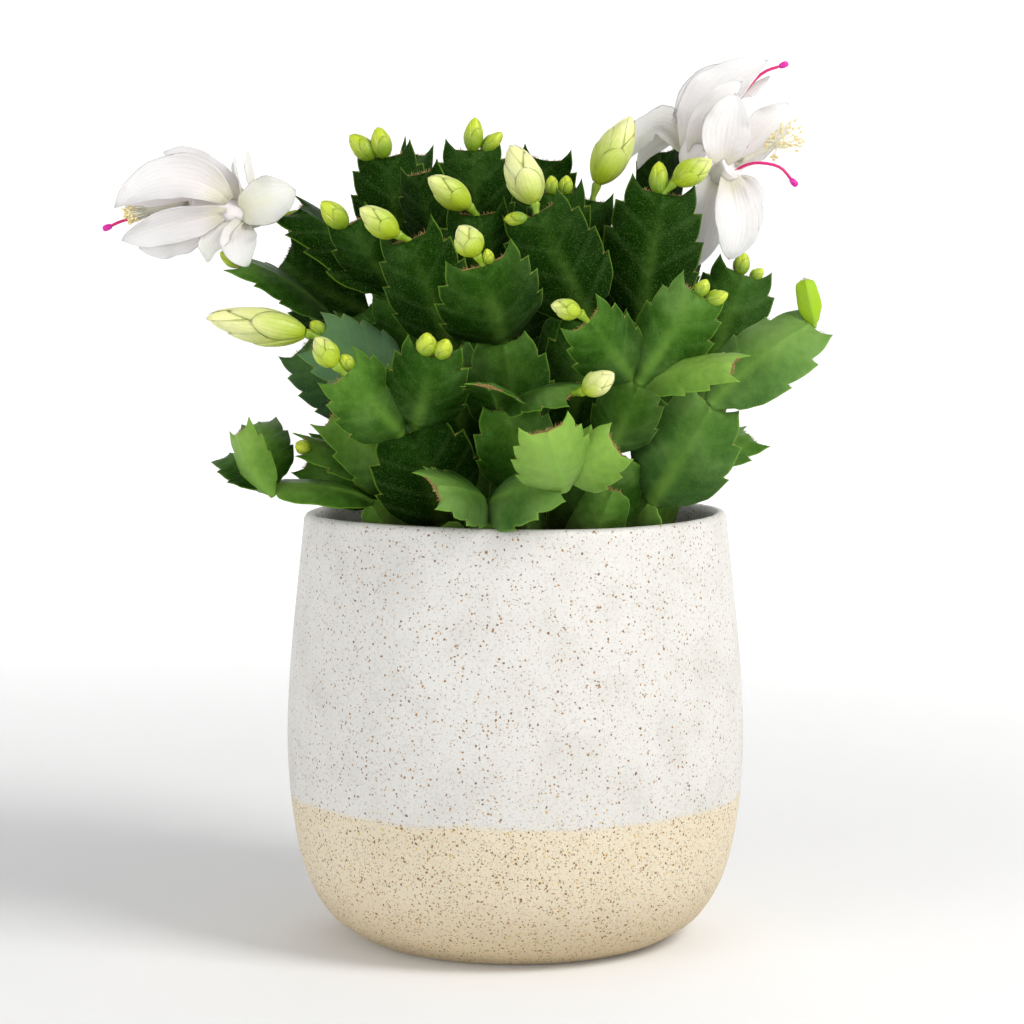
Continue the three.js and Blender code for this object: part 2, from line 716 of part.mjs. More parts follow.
// The pistil: a bent five-sided thread with a knob at its end.
function pistilSolid(places) {
  const path = new THREE.CatmullRomCurve3(places.map(vector));
  const corners = [0, 1, 2, 3, 4].map((i) => (i / 5) * 2 * Math.PI);
  const ring = new THREE.Shape(
    corners.map((a) => new THREE.Vector2(PISTIL_RADIUS * Math.cos(a), PISTIL_RADIUS * Math.sin(a))),
  );
  const drawn = { steps: 6, extrudePath: path, bevelEnabled: false };
  const thread = solidOf(new THREE.ExtrudeGeometry(ring, drawn));
  const knob = new THREE.OctahedronGeometry(STIGMA_RADIUS);
  const end = vector(places.at(-1));
  knob.translate(end.x, end.y, end.z);
  return thread.add(solidOf(knob));
}

// A fixed sequence of values from 0 to 1, so that the far side always grows alike.
function chances(seed) {
  let state = seed;
  return () => {
    state = (state * 16807) % 2147483647;
    return state / 2147483647;
  };
}

// The rows of one far stem: a chain of joints in one upright plane, which climbs less and less.
function farStem(ring, index) {
  const next = chances(ring.start * 97 + index * 13 + 5);
  const turn = ring.from + ((ring.to - ring.from) * index) / (ring.count - 1);
  const place = (reach, height, sway) => {
    const a = THREE.MathUtils.degToRad(turn + sway);
    return [reach * Math.cos(a), reach * Math.sin(a), height];
  };
  // A compass bearing has 0 at the viewer and 90 at the right, so the way out of the pot is turn + 90.
  const outward = turn + 90;
  let reach = ring.start;
  let height = SOIL_TOP + 3;
  const rows = [["root", "", ...place(reach, height, 0), 0, 0, 0]];
  let parent = "root";
  ring.climb.forEach((climb, i) => {
    const angle = THREE.MathUtils.degToRad(climb + 8 * (next() - 0.5));
    const length = FAR_LENGTH * (0.92 + 0.16 * next());
    reach += length * Math.cos(angle);
    height += length * Math.sin(angle);
    const name = ring.name + index + "_" + (i + 1);
    const lift = 90 - climb;
    const sway = 5 * (next() - 0.5) - (i > 1 ? ring.fork : 0);
    rows.push([name, parent, ...place(reach, height, sway), FAR_WIDTHS[i], outward, lift]);
    const side = (suffix, { out, up, width, lift: raised }, aside) => {
      rows.push([name + suffix, name, ...place(reach + out, height + up, aside), width, outward, raised]);
    };
    if (i === 0 && ring.shoot) side("_shoot", LOW_SHOOT, ring.shoot);
    if (i === 1) side("_fork", FORK, ring.fork);
    parent = name;
  });
  return rows;
}

// A form turned on the upright axis, from points [radius, height].
function lathed(outline, sides) {
  const points = outline.map(([r, z]) => new THREE.Vector2(r, z));
  return solidOf(new THREE.LatheGeometry(points, sides).rotateX(Math.PI / 2));
}

// The pot: a curved foot and belly, a rim rounded over, and a hollow that follows the outside.
function potSolid() {
  const outline = [
    [0, 0],
    [FOOT_RADIUS, 0],
    ...OUTER_WALL,
    [RIM_OUTER, POT_HEIGHT - 2],
    [RIM_OUTER - 0.9, POT_HEIGHT],
    [RIM_INNER + 0.9, POT_HEIGHT],
    [RIM_INNER, POT_HEIGHT - 2],
    ...INNER_WALL,
    [FLOOR_RADIUS, FLOOR_TOP],
    [0, FLOOR_TOP],
  ];
  return lathed(outline, POT_SIDES);
}

// The soil follows the pot's inner wall a hair's breadth away, and each stem has its own hole.
function soilSolid(roots) {
  const inside = INNER_WALL.slice(1).toReversed();
  const outline = [
    [0, FLOOR_TOP + GAP],
    [FLOOR_RADIUS - SOIL_CLEARANCE, FLOOR_TOP + GAP],
    ...inside.map(([r, z]) => [r - SOIL_CLEARANCE, z]),
    [INNER_WALL[0][0] - SOIL_CLEARANCE, SOIL_EDGE],
    [0, SOIL_TOP],
  ];
  const hole = [
    [0, 0],
    [HOLE_RADIUS, 0],
    [HOLE_RADIUS, 1],
    [0, 1],
  ];
  return roots.reduce((soil, root) => {
    const [bottom, top] = [HOLE_BOTTOM, POT_HEIGHT].map((z) => root.clone().setZ(z));
    return soil.subtract(turned(hole, bottom, top, STALK_SIDES));
  }, lathed(outline, SOIL_SIDES));
}

const finishes = {
  glaze: new THREE.MeshStandardMaterial({ color: GLAZE_WHITE, roughness: 0.55, metalness: 0 }),
  soil: new THREE.MeshStandardMaterial({ color: SOIL_BROWN, roughness: 1, metalness: 0 }),
  leaf: new THREE.MeshStandardMaterial({ color: LEAF_GREEN, roughness: 0.5, metalness: 0 }),
  bud: new THREE.MeshStandardMaterial({ color: BUD_GREEN, roughness: 0.5, metalness: 0 }),
  petal: new THREE.MeshStandardMaterial({ color: PETAL_WHITE, roughness: 0.6, metalness: 0 }),
  stamen: new THREE.MeshStandardMaterial({ color: STAMEN_CREAM, roughness: 0.7, metalness: 0 }),
  pistil: new THREE.MeshStandardMaterial({ color: PISTIL_PINK, roughness: 0.4, metalness: 0 }),
};

const group = new THREE.Group();

// Adds a solid to the plant as a mesh of its own.
function place(name, solid, finish) {
  const { vertProperties, triVerts } = solid.getMesh();
  const geometry = new THREE.BufferGeometry();
  geometry.setAttribute("position", new THREE.BufferAttribute(vertProperties, 3));
  geometry.setIndex(new THREE.BufferAttribute(triVerts, 1));
  const mesh = new THREE.Mesh(geometry, finishes[finish]);
  mesh.name = name;
  group.add(mesh);
}

const seats = [
  ...BLOOM_BUDS.map(([, carrier, base, tip]) => [carrier, vector(base), vector(tip)]),
  ...Object.values(FLOWERS).map(({ carrier, tube: [base, tip] }) => [carrier, vector(base), vector(tip)]),
];
const stems = { ...STEMS };
for (const ring of FAR_RINGS) {
  for (let index = 0; index < ring.count; index++) stems[ring.name + index] = farStem(ring, index);
}
const roots = Object.values(stems).map((rows) => vector(rows[0].slice(2, 5)));

place("pot", potSolid(), "glaze");
place("soil", soilSolid(roots), "soil");
for (const [stem, rows] of Object.entries(stems)) place(stem, stemSolid(stem, rows, {}), "leaf");
for (const [name, , base, tip, width] of BLOOM_BUDS) {
  place(name, bloomBud(vector(base), vector(tip), width), "bud");
}
for (const [name, flower] of Object.entries(FLOWERS)) {
  place(name + "_petals", petalsSolid(flower), "petal");
  place(name + "_stamens", stamensSolid(flower.stamens), "stamen");
  place(name + "_pistil", pistilSolid(flower.pistil), "pistil");
}

export default group;
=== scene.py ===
import bpy
import numpy as np
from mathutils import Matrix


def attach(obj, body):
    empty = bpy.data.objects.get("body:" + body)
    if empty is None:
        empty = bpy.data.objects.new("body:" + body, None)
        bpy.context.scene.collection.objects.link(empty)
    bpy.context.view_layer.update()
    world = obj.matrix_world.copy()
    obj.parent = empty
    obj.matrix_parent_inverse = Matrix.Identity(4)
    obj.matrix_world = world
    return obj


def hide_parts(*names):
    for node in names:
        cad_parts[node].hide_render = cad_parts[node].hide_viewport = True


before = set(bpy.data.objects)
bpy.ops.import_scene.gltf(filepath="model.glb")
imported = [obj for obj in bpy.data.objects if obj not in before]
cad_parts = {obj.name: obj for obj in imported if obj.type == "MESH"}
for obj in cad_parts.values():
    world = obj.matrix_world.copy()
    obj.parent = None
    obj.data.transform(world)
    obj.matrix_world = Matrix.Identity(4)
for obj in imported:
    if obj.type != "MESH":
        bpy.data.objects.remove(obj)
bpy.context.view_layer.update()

# The pot: stoneware thrown on a wheel, about 4 mm thick, its rim rolled over between finger and
# thumb. The potter held it by the foot and dipped the rest in white glaze, so the lowest 5 cm is
# bare sandy clay. Iron in the clay shows as brown specks, which the fire drew up into the glaze.
MM = 0.001
POT_SIDES = 128
POT_HEIGHT = 140
FLOOR_THICK = 8
WALL_STEPS = 6
OUTER_WALL = [
    [47, 0], [52, 1.8], [62, 9], [69.6, 23], [73.6, 43], [75, 66], [73.6, 94], [69.2, 136.6],
]
ROUND_RIM = [[69, 138.4], [68.3, 139.6], [67.2, 140], [66.1, 139.6], [65.5, 138.3]]
INNER_WALL = [[65.6, 136], [67.4, 119], [70.4, 72], [66.4, 32], [52, 8]]
GLAZE_LINE = 0.0485
LINE_SOFT = 0.0011
SPECK_RAGGED = 0.0011
GLAZE_WHITE = (0.665, 0.65, 0.62, 1)
GLAZE_SHADE = (0.605, 0.59, 0.555, 1)
BARE_CLAY = (0.74, 0.665, 0.52, 1)
DARKER_CLAY = (0.6, 0.485, 0.31, 1)
SAND_GRAIN = (0.3, 0.27, 0.22, 1)
DUST_SPECK = (0.23, 0.15, 0.05, 1)
RUST_SPECK = (0.32, 0.15, 0.01, 1)
IRON_SPECK = (0.15, 0.07, 0.01, 1)
OCHRE_SPECK = (0.62, 0.42, 0.12, 1)


def grid_faces(rows, columns, closed=False):
    """Four-cornered faces of a grid whose columns run anticlockwise seen from outside.

    Closed joins the last column to the first.
    """
    count = columns if closed else columns - 1
    i, j = np.meshgrid(np.arange(rows - 1), np.arange(count), indexing="ij")
    a, b = i * columns, (j + 1) % columns
    corners = [a + j, a + b, a + columns + b, a + columns + j]
    return np.stack(corners, axis=-1).reshape(-1, 4)


def piece(name, body, finish, slot, replaced, *keys):
    """A closed smooth piece from a body: points in millimetres, faces, and its shares under keys.

    Faces are split in triangles and corners in one place made one. Each share is three numbers at
    every point, kept as an attribute that the finish reads.
    """
    points, faces, *shares = body
    halves = np.concatenate([faces[:, [0, 1, 2]], faces[:, [0, 2, 3]]])
    near = np.round(points, 4)
    _, first, merged = np.unique(near, axis=0, return_index=True, return_inverse=True)
    halves = merged.reshape(-1)[halves]
    a, b, c = halves.T
    halves = halves[(a != b) & (b != c) & (c != a)]
    mesh = bpy.data.meshes.new(name)
    mesh.from_pydata(points[first] * MM, [], halves, shade_flat=False)
    for key, values in zip(keys, shares):
        attribute = mesh.attributes.new(key, "FLOAT_VECTOR", "POINT")
        attribute.data.foreach_set("vector", values[first].ravel())
    mesh.validate()
    mesh.materials.append(finish)
    made = bpy.data.objects.new(name, mesh)
    bpy.context.scene.collection.objects.link(made)
    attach(made, "root")
    if replaced:
        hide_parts(*replaced)


def fill(node, sockets):
    """Gives sockets, by name or number, a plain value or what another node puts out."""
    for key, value in sockets:
        if isinstance(value, Value):
            node.id_data.links.new(value.socket, node.inputs[key])
        else:
            node.inputs[key].default_value = value


class Value:
    """What a node of a finish puts out. What is worked out from it is more nodes of that finish."""

    def __init__(self, socket):
        self.socket = socket

    def made(self, kind, *sockets, out=0, **settings):
        """What one more node puts out, by number or name."""
        node = self.socket.id_data.nodes.new("ShaderNode" + kind)
        for key, value in settings.items():
            setattr(node, key, value)
        fill(node, sockets)
        return Value(node.outputs[out])

    def twin(self, out):
        """What the same node puts out beside this."""
        return Value(self.socket.node.outputs[out])

    def split(self, kind="XYZ"):
        """The three numbers of a place, or of a colour where the kind says so."""
        first = self.made("Separate" + kind, (0, self))
        return first, first.twin(1), first.twin(2)

    def math(self, operation, *others):
        return self.made("Math", *enumerate((self, *others)), operation=operation)

    def __add__(self, other):
        return self.math("ADD", other)

    def __sub__(self, other):
        return self.math("SUBTRACT", other)

    def __rsub__(self, other):
        return self.made("Math", (0, other), (1, self), operation="SUBTRACT")

    def __mul__(self, other):
        return self.math("MULTIPLY", other)

    def between(self, low, high):
        """0 below low, 1 above high, smooth between them; low may be the greater."""
        ends = (1, low), (2, high)
        return self.made("MapRange", (0, self), *ends, interpolation_type="SMOOTHSTEP")

    def from_to(self, low, high, top=1.0):
        """Low where this value is 0, high where it is top, straight between them."""
        return self.made("MapRange", (0, self), (2, top), (3, low), (4, high))

    def mix(self, first, second):
        """The first colour, with the second over it by this share."""
        return self.made("Mix", (0, self), (6, first), (7, second), out=2, data_type="RGBA")

    def under(self, *coats):
        """This colour with coats laid over it in turn, each a share and a colour."""
        for share, colour in coats:
            self = share.mix(self, colour)
        return self

    def grain(self, scale, detail=2.0, rough=0.5):
        """Cloudy noise from 0 to 1 at this place, of about so many patches a metre."""
        look = ("Scale", scale), ("Detail", detail), ("Roughness", rough)
        return self.made("TexNoise", ("Vector", self), *look)

    def specks(self, scale, radius, rarity):
        """Round dots in cells, so many a metre, each up to a share of its cell; some are bare.

        Gives how far the dot covers, and the cell's own lot from 0 to 1.
        """
        off = self.made("TexVoronoi", ("Vector", self), ("Scale", scale), out="Distance")
        bare, size, lot = off.twin("Color").split("Color")
        dot = (off - size.math("MULTIPLY_ADD", radius * 0.65, radius * 0.35)).between(0.05, -0.05)
        return dot * bare.math("GREATER_THAN", rarity), lot

    def raised(self, depth):
        """The surface's relief: this height from 0 to 1, times a depth in metres."""
        return self.made("Bump", ("Strength", 1.0), ("Distance", depth), ("Height", self))


def new_finish(name):
    """A new finish, and the place on the piece that its patterns read."""
    finish = bpy.data.materials.new(name)
    finish.use_nodes = True
    place = finish.node_tree.nodes.new("ShaderNodeTexCoord").outputs["Object"]
    return finish, Value(place)


def dressed(finish, looks):
    """The finish, with its shader's sockets set to plain values or patterns."""
    fill(finish.node_tree.nodes["Principled BSDF"], looks.items())
    return finish


def stoneware():
    """White speckled glaze above a soft line, bare sandy clay below it."""
    finish, place = new_finish("stoneware")
    height = place.split()[2]
    sand = place.grain(1500, 1.5)
    ripple = (place.grain(22, 1.0) - 0.5) * 0.006
    level = height + (ripple + (sand - 0.5) * 0.002)
    glazed = level.between(GLAZE_LINE - LINE_SOFT, GLAZE_LINE + LINE_SOFT)
    near_line = level.between(GLAZE_LINE + 0.02, GLAZE_LINE)
    cloud = place.grain(60, 3.0)
    # The bare clay grows darker towards the bottom of the pot, and in cloudy patches.
    clay = height.between(0.03, 0.0).mix(BARE_CLAY, DARKER_CLAY)
    clay = (cloud * 0.45).mix(clay, DARKER_CLAY)
    body = glazed.mix(clay, cloud.between(0.4, 0.75).mix(GLAZE_WHITE, GLAZE_SHADE))
    shake = (0, sand.twin("Color")), (1, (SPECK_RAGGED,) * 3), (2, place)
    ragged = place.made("VectorMath", *shake, operation="MULTIPLY_ADD")
    hidden = glazed.from_to(0.05, 0.36)
    dust, lot = ragged.specks(1150, 0.34, hidden)
    dust = dust * ((1.0 - glazed * 0.5) * lot.between(-0.6, 0.8))
    iron, lot = ragged.specks(790, 0.32, hidden)
    warm = lot.between(0.25, 0.6).mix(IRON_SPECK, RUST_SPECK)
    gold = lot.between(0.72, 0.78) * near_line
    body = body.under(
        (sand.between(0.5, 0.75) * 0.28, SAND_GRAIN),
        (dust, DUST_SPECK),
        (iron * 0.95, gold.mix(warm, OCHRE_SPECK)),
    )
    skin = sand * (1.45 - glazed) + place.grain(160, 1.0) * 0.6 + glazed * 0.9
    rough = glazed.from_to(0.85, 0.46)
    looks = {"Base Color": body, "Roughness": rough, "Normal": skin.raised(0.00022)}
    return dressed(finish, looks)


def drawn_through(points, steps):
    """A smooth line: each stretch a cubic whose slope at a point follows its two neighbours."""
    p = np.asarray(points, float)
    p = np.concatenate([[2 * p[0] - p[1]], p, [2 * p[-1] - p[-2]]])
    t = np.linspace(0, 1, steps, endpoint=False)[None, :, None]
    a, b, c, d = (p[k : len(p) - 3 + k, None, :] for k in range(4))
    line = b + t * ((c - a) + t * ((2 * a - 5 * b + 4 * c - d) + t * (3 * (b - c) + d - a))) / 2
    return np.concatenate([line.reshape(-1, p.shape[1]), [p[-2]]])


def turns(count):
    """Angles once round, in even steps."""
    return np.linspace(0, 2 * np.pi, count, endpoint=False)


def turned(r, turn, z):
    """Points at a radius, an angle and a height round the upright axis."""
    return np.stack(np.broadcast_arrays(r * np.cos(turn), r * np.sin(turn), z), axis=-1)


def thrown_pot():
    """The wall's profile turned; two waves in its radius and one in its rim leave it hand-made.

    The radius has an oval that grows with height and a wave five times round, the rim a wave three
    times round, each of a few tenths of a millimetre.
    """
    wall = [drawn_through(OUTER_WALL, WALL_STEPS), ROUND_RIM, drawn_through(INNER_WALL, WALL_STEPS)]
    wall = np.concatenate([[[0, 0], [40, 0]], *wall, [[0, FLOOR_THICK]]])
    turn = turns(POT_SIDES)
    r, z = wall[:, :1], wall[:, 1:]
    oval = 0.0016 * np.sin(2 * turn + 0.8) * z / POT_HEIGHT
    out = r * (1 + oval + 0.0007 * np.sin(5 * turn + z / 30))
    up = z + 0.35 * np.sin(3 * turn + 1.9) * (z / POT_HEIGHT) ** 6 * (z > FLOOR_THICK)
    return turned(out, turn, up).reshape(-1, 3), grid_faces(len(wall), POT_SIDES, closed=True)


piece("thrown_pot", thrown_pot(), stoneware(), "stoneware", ["pot"])

# The potting mix: dark peat with crumbs, shreds of bark and a few white grains of perlite, poured
# in loose and pressed down by hand. It fills the pot to about 2 cm below the rim and stands a
# little higher in the middle.
SOIL_RINGS = 56
SOIL_SPOKES = 120
SOIL_WIDE = 66.8
SOIL_TOP = 122
SOIL_WALL = np.array([[66.8, 118.4], [69.8, 72], [65.8, 32], [51.4, 8.4], [0, 8.4]])
CROWN = 3
LUMPS = [(17, 0.4, 0.5), (11, 1.9, 0.45), (7, 2.8, 0.35), (4.6, 0.9, 0.3), (3.1, 2.2, 0.25)]
CRUMBS = 900
CRUMB_REACH = 65
CRUMB_SEED = 7
PEAT_DARK = (0.014, 0.009, 0.006, 1)
PEAT_BROWN = (0.05, 0.03, 0.017, 1)
BARK = (0.17, 0.095, 0.045, 1)
PERLITE = (0.62, 0.6, 0.55, 1)


def soil_height(x, y):
    """The mound: a crown, with lumps from waves that cross at set angles, each row of LUMPS one."""
    height = SOIL_TOP - CROWN * np.minimum(np.hypot(x, y) / SOIL_WIDE, 1) ** 2
    for length, angle, depth in LUMPS:
        along = x * np.cos(angle) + y * np.sin(angle)
        aside = y * np.cos(angle) - x * np.sin(angle)
        swing = 2 * np.sin(2 * np.pi * aside / (1.7 * length))
        height = height + depth * np.sin(2 * np.pi * along / length + swing)
    return height


def poured_soil():
    """A closed body: rings of the mound from the axis out, then the pot's inner wall and floor."""
    turn = turns(SOIL_SPOKES)
    r = np.linspace(0, SOIL_WIDE, SOIL_RINGS)[:, None]
    mound = turned(r, turn, soil_height(r * np.cos(turn), r * np.sin(turn)))[::-1]
    side = turned(SOIL_WALL[:, :1], turn, SOIL_WALL[:, 1:])
    points = np.concatenate([side[::-1], mound]).reshape(-1, 3)
    return points, grid_faces(len(SOIL_WALL) + SOIL_RINGS, SOIL_SPOKES, closed=True)


def crumbs():
    """Bits of 12 corners and 20 faces, each corner pushed in or out, strewn on the mound."""
    luck = np.random.default_rng(CRUMB_SEED)
    g = (1 + 5**0.5) / 2
    corners = np.array([[s, t * g, 0] for s in (-1, 1) for t in (-1, 1)]) / np.hypot(1, g)
    corners = np.concatenate([corners, corners[:, [2, 0, 1]], corners[:, [1, 2, 0]]])
    near = np.linalg.norm(corners[:, None] - corners[None], axis=-1) < 1.1
    faces = [(a, b, c) for a in range(12) for b in range(a) for c in range(b)]
    faces = [(a, b, c) for a, b, c in faces if near[a, b] and near[b, c] and near[a, c]]
    faces = [f if np.linalg.det(corners[list(f)]) > 0 else f[::-1] for f in faces]
    r, turn = CRUMB_REACH * np.sqrt(luck.random(CRUMBS)), 2 * np.pi * luck.random(CRUMBS)
    x, y = r * np.cos(turn), r * np.sin(turn)
    size = 0.5 + 1.5 * luck.random((CRUMBS, 1, 1)) ** 2
    stretch = 0.6 + luck.random((CRUMBS, 1, 3)) * [1.3, 0.8, 0.4]
    rough = 0.75 + 0.5 * luck.random((CRUMBS, 12, 1))
    spin = 2 * np.pi * luck.random((CRUMBS, 1))
    u, v, w = np.moveaxis(corners * rough * stretch * size, -1, 0)
    bits = [u * np.cos(spin) - v * np.sin(spin), u * np.sin(spin) + v * np.cos(spin), w]
    bits = np.stack(bits, axis=-1) + np.stack([x, y, soil_height(x, y) + 0.2], axis=-1)[:, None]
    lots = np.repeat(luck.random((CRUMBS, 3)), 12, axis=0)
    faces = (12 * np.arange(CRUMBS)[:, None, None] + faces).reshape(-1, 3)
    return bits.reshape(-1, 3), np.concatenate([faces, faces[:, 2:]], axis=1), lots


def kept_share(place, key):
    """The three numbers that the piece keeps at each point under a key."""
    return place.made("Attribute", out="Vector", attribute_name=key).split()


def potting_mix(name, loose=False):
    """Damp peat with browner patches; a loose crumb's lot makes it peat, bark or perlite."""
    finish, place = new_finish(name)
    tone = place.grain(350, 4.0, 0.7).mix(PEAT_DARK, PEAT_BROWN)
    if loose:
        bark, perlite, _ = kept_share(place, "lot")
        tone = tone.under((bark.between(0.55, 0.9), BARK), (perlite.between(0.955, 0.96), PERLITE))
    bumps = place.grain(900, 4.0, 0.7).raised(0.0006)
    return dressed(finish, {"Base Color": tone, "Roughness": 0.95, "Normal": bumps})


piece("potting_soil", poured_soil(), potting_mix("peat"), "potting_mix", ["soil"])
piece("soil_crumbs", crumbs(), potting_mix("crumb", True), "potting_mix", [], "lot")

# The stems: chains of flat green joints, soft and waxy, 2 to 3 mm thick at the rib and thin at the
# toothed edge. Each joint has budded from the blunt tip of the one below it; the lowest stand on a
# round corky stalk in the soil.
# A line with one name is a new stem and its root's x, y, z. Each other line: a joint, what it
# grows from, its tip's x, y, z and its width in millimetres, and where its broad side looks:
# compass degrees (0 the viewer, 90 the right) and degrees above level.
STEMS = """
stem_right_low 31 -27 126
r1 root 43 -45 147 20 -10 30
r2 r1 61 -52 178 33 0 10
r3 r2 93 -40 202 27 -5 35
r6 r3 90 -40 216 8 0 0
stem_right_mid 20 -36 125
q1 root 30 -50 163 30 10 10
q2 q1 38 -64 185 22 5 20
q3a q2 21 -80 204 24 -15 25
q3b q2 56 -60 212 25 -5 5
q3c q2 66 -78 190 21 -5 55
stem_right_side 38 -6 124
s1 root 50 -8 153 22 35 10
s2 s1 62 -14 185 26 20 0
s3 s1 78 6 164 20 30 60
r5 s2 74 -5 218 29 0 0
stem_tall_right 20 -10 124
c1a root 30 -8 162 27 10 0
c1b c1a 40 -24 203 22 10 0
c1 c1b 47 -15 244 33 0 -5
f1 c1a 46 0 200 24 60 0
f2 f1 56 4 239 21 30 0
stem_centre_right 8 -18 124
c2a root 14 -28 165 24 0 0
c2b c2a 23 -42 204 26 0 0
c2 c2b 6 -35 237 31 0 5
e1 c2a 16 -12 205 18 0 0
e2 e1 14 -10 244 24 0 0
e3 e1 25 -4 242 20 0 0
stem_centre_front 0 -28 124
m3a root 1 -41 167 20 0 0
m3 m3a -4 -52 197 29 0 10
c3 m3 -10 -70 221 34 0 20
stem_centre_left -8 -20 124
c4a root -14 -32 160 24 0 0
c4b c4a -20 -42 195 21 0 0
c4 c4b -33 -48 229 28 -10 5
c5a c4a -10 -26 200 26 0 0
c5 c5a -12 -30 237 28 0 0
stem_crown -4 2 124
v1 root -6 0 160 22 0 0
v2 v1 -9 -4 194 22 0 0
v3 v2 -12 -3 226 24 0 0
c6 v3 -14 -5 258 27 0 0
c7a v2 -23 -12 222 22 0 0
c7 c7a -31 -16 250 22 -30 0
stem_crown_left -14 8 124
g1 root -22 6 152 22 0 0
g2 g1 -31 3 184 24 0 0
g3 g2 -38 0 221 25 0 0
c8 g3 -42 -4 256 27 0 0
l4 g2 -50 2 206 24 -10 0
l3 l4 -76 5 223 25 -10 -10
stem_left_mid -12 -8 124
k1 root -19 -12 150 20 0 0
k2 k1 -28 -18 180 22 0 0
k3 k2 -40 -20 212 23 -20 20
l1 k3 -52 -34 234 22 -20 20
l2 k3 -71 -15 238 26 -10 65
l5a k2 -60 -9 203 20 0 60
l5 l5a -89 -13.5 221 20 0 65
stem_left_teal -19 -21 124
h1 root -24 -32 152 13 -20 0
h2 h1 -36 -41 184 17 -20 0
l6 h2 -62 -40 198 25 -10 20
stem_left_low -17 -33 125
l9a root -23 -43 140 14 -10 0
l9 l9a -33 -58 170 35 0 15
l7 l9 -52 -70 188 25 -10 25
l8 l9 -25 -74 194 27 5 20
stem_left_side -30 -18 124
n1 root -38 -26 148 13 -30 0
l10a n1 -46 -28 174 22 -20 0
l10 l10a -68 -25 195 27 -10 0
l11 n1 -58 -48 174 20 -20 40
l12 n1 -66 -42 164 18 -20 50
l13 n1 -66 -29 160 22 -10 20
stem_trailing -34 -34 126
t0 root -46 -43 146.5 12 -20 40
t1 t0 -76 -47 151 18 -10 65
t2 t1 -91 -30 160 17 0 60
t3 t1 -86 -45 169 16 -60 30
t4 t1 -82 -21 170 18 0 20
stem_front -11 -40 125
b0 root -9 -56 147 14 0 50
b1 b0 -25 -74 153 25 0 40
b2 b0 15 -77 155 27 0 40
b3 b2 9 -90 172 25 0 10
b4 b2 30 -86 167 20 0 10
stem_front_fan 4 -36 125
m0 root 3 -43 150 13 0 0
m00 m0 -3 -59 177 27 0 20
m1 m00 -8 -84 184 21 30 70
m2 m00 18 -78 182 22 0 60
stem_front_right 20 -47 125
d1 root 30 -55 152 19 10 10
"""
# The far side: name, first and last angle round the pot, stems, reach of the root, each joint's
# climb in degrees, and how far the fork and the side shoot turn away.
FAR_RINGS = [
    ("stem_far_outer_", 32, 148, 5, 27, [76, 56, 28], 7, -10),
    ("stem_far_inner_", 42, 142, 3, 21, [84, 76, 70, 74], 13, 0),
]
FAR_LENGTH = 35
FAR_WIDTHS = [12, 22, 26, 26]
BOW = 0.07
CUP = 0.1
NECK_SINK = 1.6
SHARE_STEP = 0.15
CORK_HIGH = 26
STALK_SINK = 13.5
HALF_STEPS = np.array([0, 0.05, 0.13, 0.32, 0.56, 0.78, 0.91, 0.975, 1])
ACROSS = np.concatenate([-HALF_STEPS[:0:-1], HALF_STEPS])
SEED = 24

# One side of a joint's outline: share of the length, share of the half width, and for the run that
# ends there how far it bulges, as a share of its own length, and its number of steps.
TIP_END = 0.965
TOOTHED = [
    (0, 0.12, 0, 0), (0.08, 0.45, 0.08, 3), (0.22, 0.83, 0.06, 4), (0.43, 1, 0.05, 5),
    (0.42, 0.87, 0, 2), (0.67, 0.99, 0.14, 6), (0.655, 0.82, 0, 2), (0.88, 0.86, 0.14, 5),
    (0.865, 0.69, 0, 2), (1.11, 0.62, 0.15, 6), (0.99, 0.4, -0.04, 4), (TIP_END, 0, 0, 4),
]
PLAIN = [
    (0, 0.14, 0, 0), (0.08, 0.48, 0.08, 3), (0.25, 0.86, 0.06, 4), (0.5, 1, 0.05, 5),
    (0.49, 0.87, 0, 2), (0.78, 0.93, 0.14, 6), (0.765, 0.75, 0, 2), (1.09, 0.64, 0.15, 7),
    (0.98, 0.4, -0.04, 4), (TIP_END, 0, 0, 4),
]
CARRIER = [
    (0, 0.14, 0, 0), (0.08, 0.48, 0.08, 3), (0.25, 0.86, 0.06, 4), (0.5, 1, 0.05, 5),
    (0.49, 0.88, 0, 2), (0.79, 0.9, 0.14, 6), (0.775, 0.72, 0, 2), (1.05, 0.5, 0.15, 6),
    (0.985, 0.32, -0.03, 4), (TIP_END, 0, 0, 4),
]
WORN = [
    (0, 0.16, 0, 0), (0.3, 0.9, 0.1, 6), (0.76, 0.85, 0.12, 6), (0.98, 0.3, 0.14, 5),
    (TIP_END, 0, 0, 3),
]

# How bright a joint is, from 0 for deep green to 1 for bright green, where it isn't by the rule:
# joints low near the rim and in front are bright, those high in the crown and further back dark.
# This is partly age, young joints being paler, and partly painted light and shade: lit joints are
# painted brighter, shaded ones darker. Then how grey its bloom is, or below 0 how lime it is, and
# how woolly its blunt tip is.
BRIGHT = {
    "r3": 0.64, "r5": 0.18, "r6": 1.0, "s3": 0.45, "q1": 0.35, "q3c": 0.78, "q3b": 0.4,
    "q3a": 0.36, "c3": 0.22, "t0": 0.5, "t1": 0.55, "t2": 0.3, "t3": 0.78, "t4": 0.5, "b1": 0.56,
    "b2": 0.54, "b3": 0.84, "b4": 0.82, "b0": 0.5, "l11": 0.5, "l12": 0.5, "l13": 0.42, "m1": 0.3,
    "m2": 0.42, "l5a": 0.4, "l5": 0.4, "l4": 0.25, "l9": 0.0, "l8": 0.26, "l7": 0.46, "l6": 0.35,
    "h2": 0.25, "d1": 0.42, "r2": 0.44, "c1": 0.06, "c2": 0.06,
}
BLUISH = {
    "l6": 1.0, "h2": 0.6, "l10": 0.3, "r3": 0.25, "r2": 0.15, "r6": -1.0, "b2": 0.15, "b1": 0.15,
}
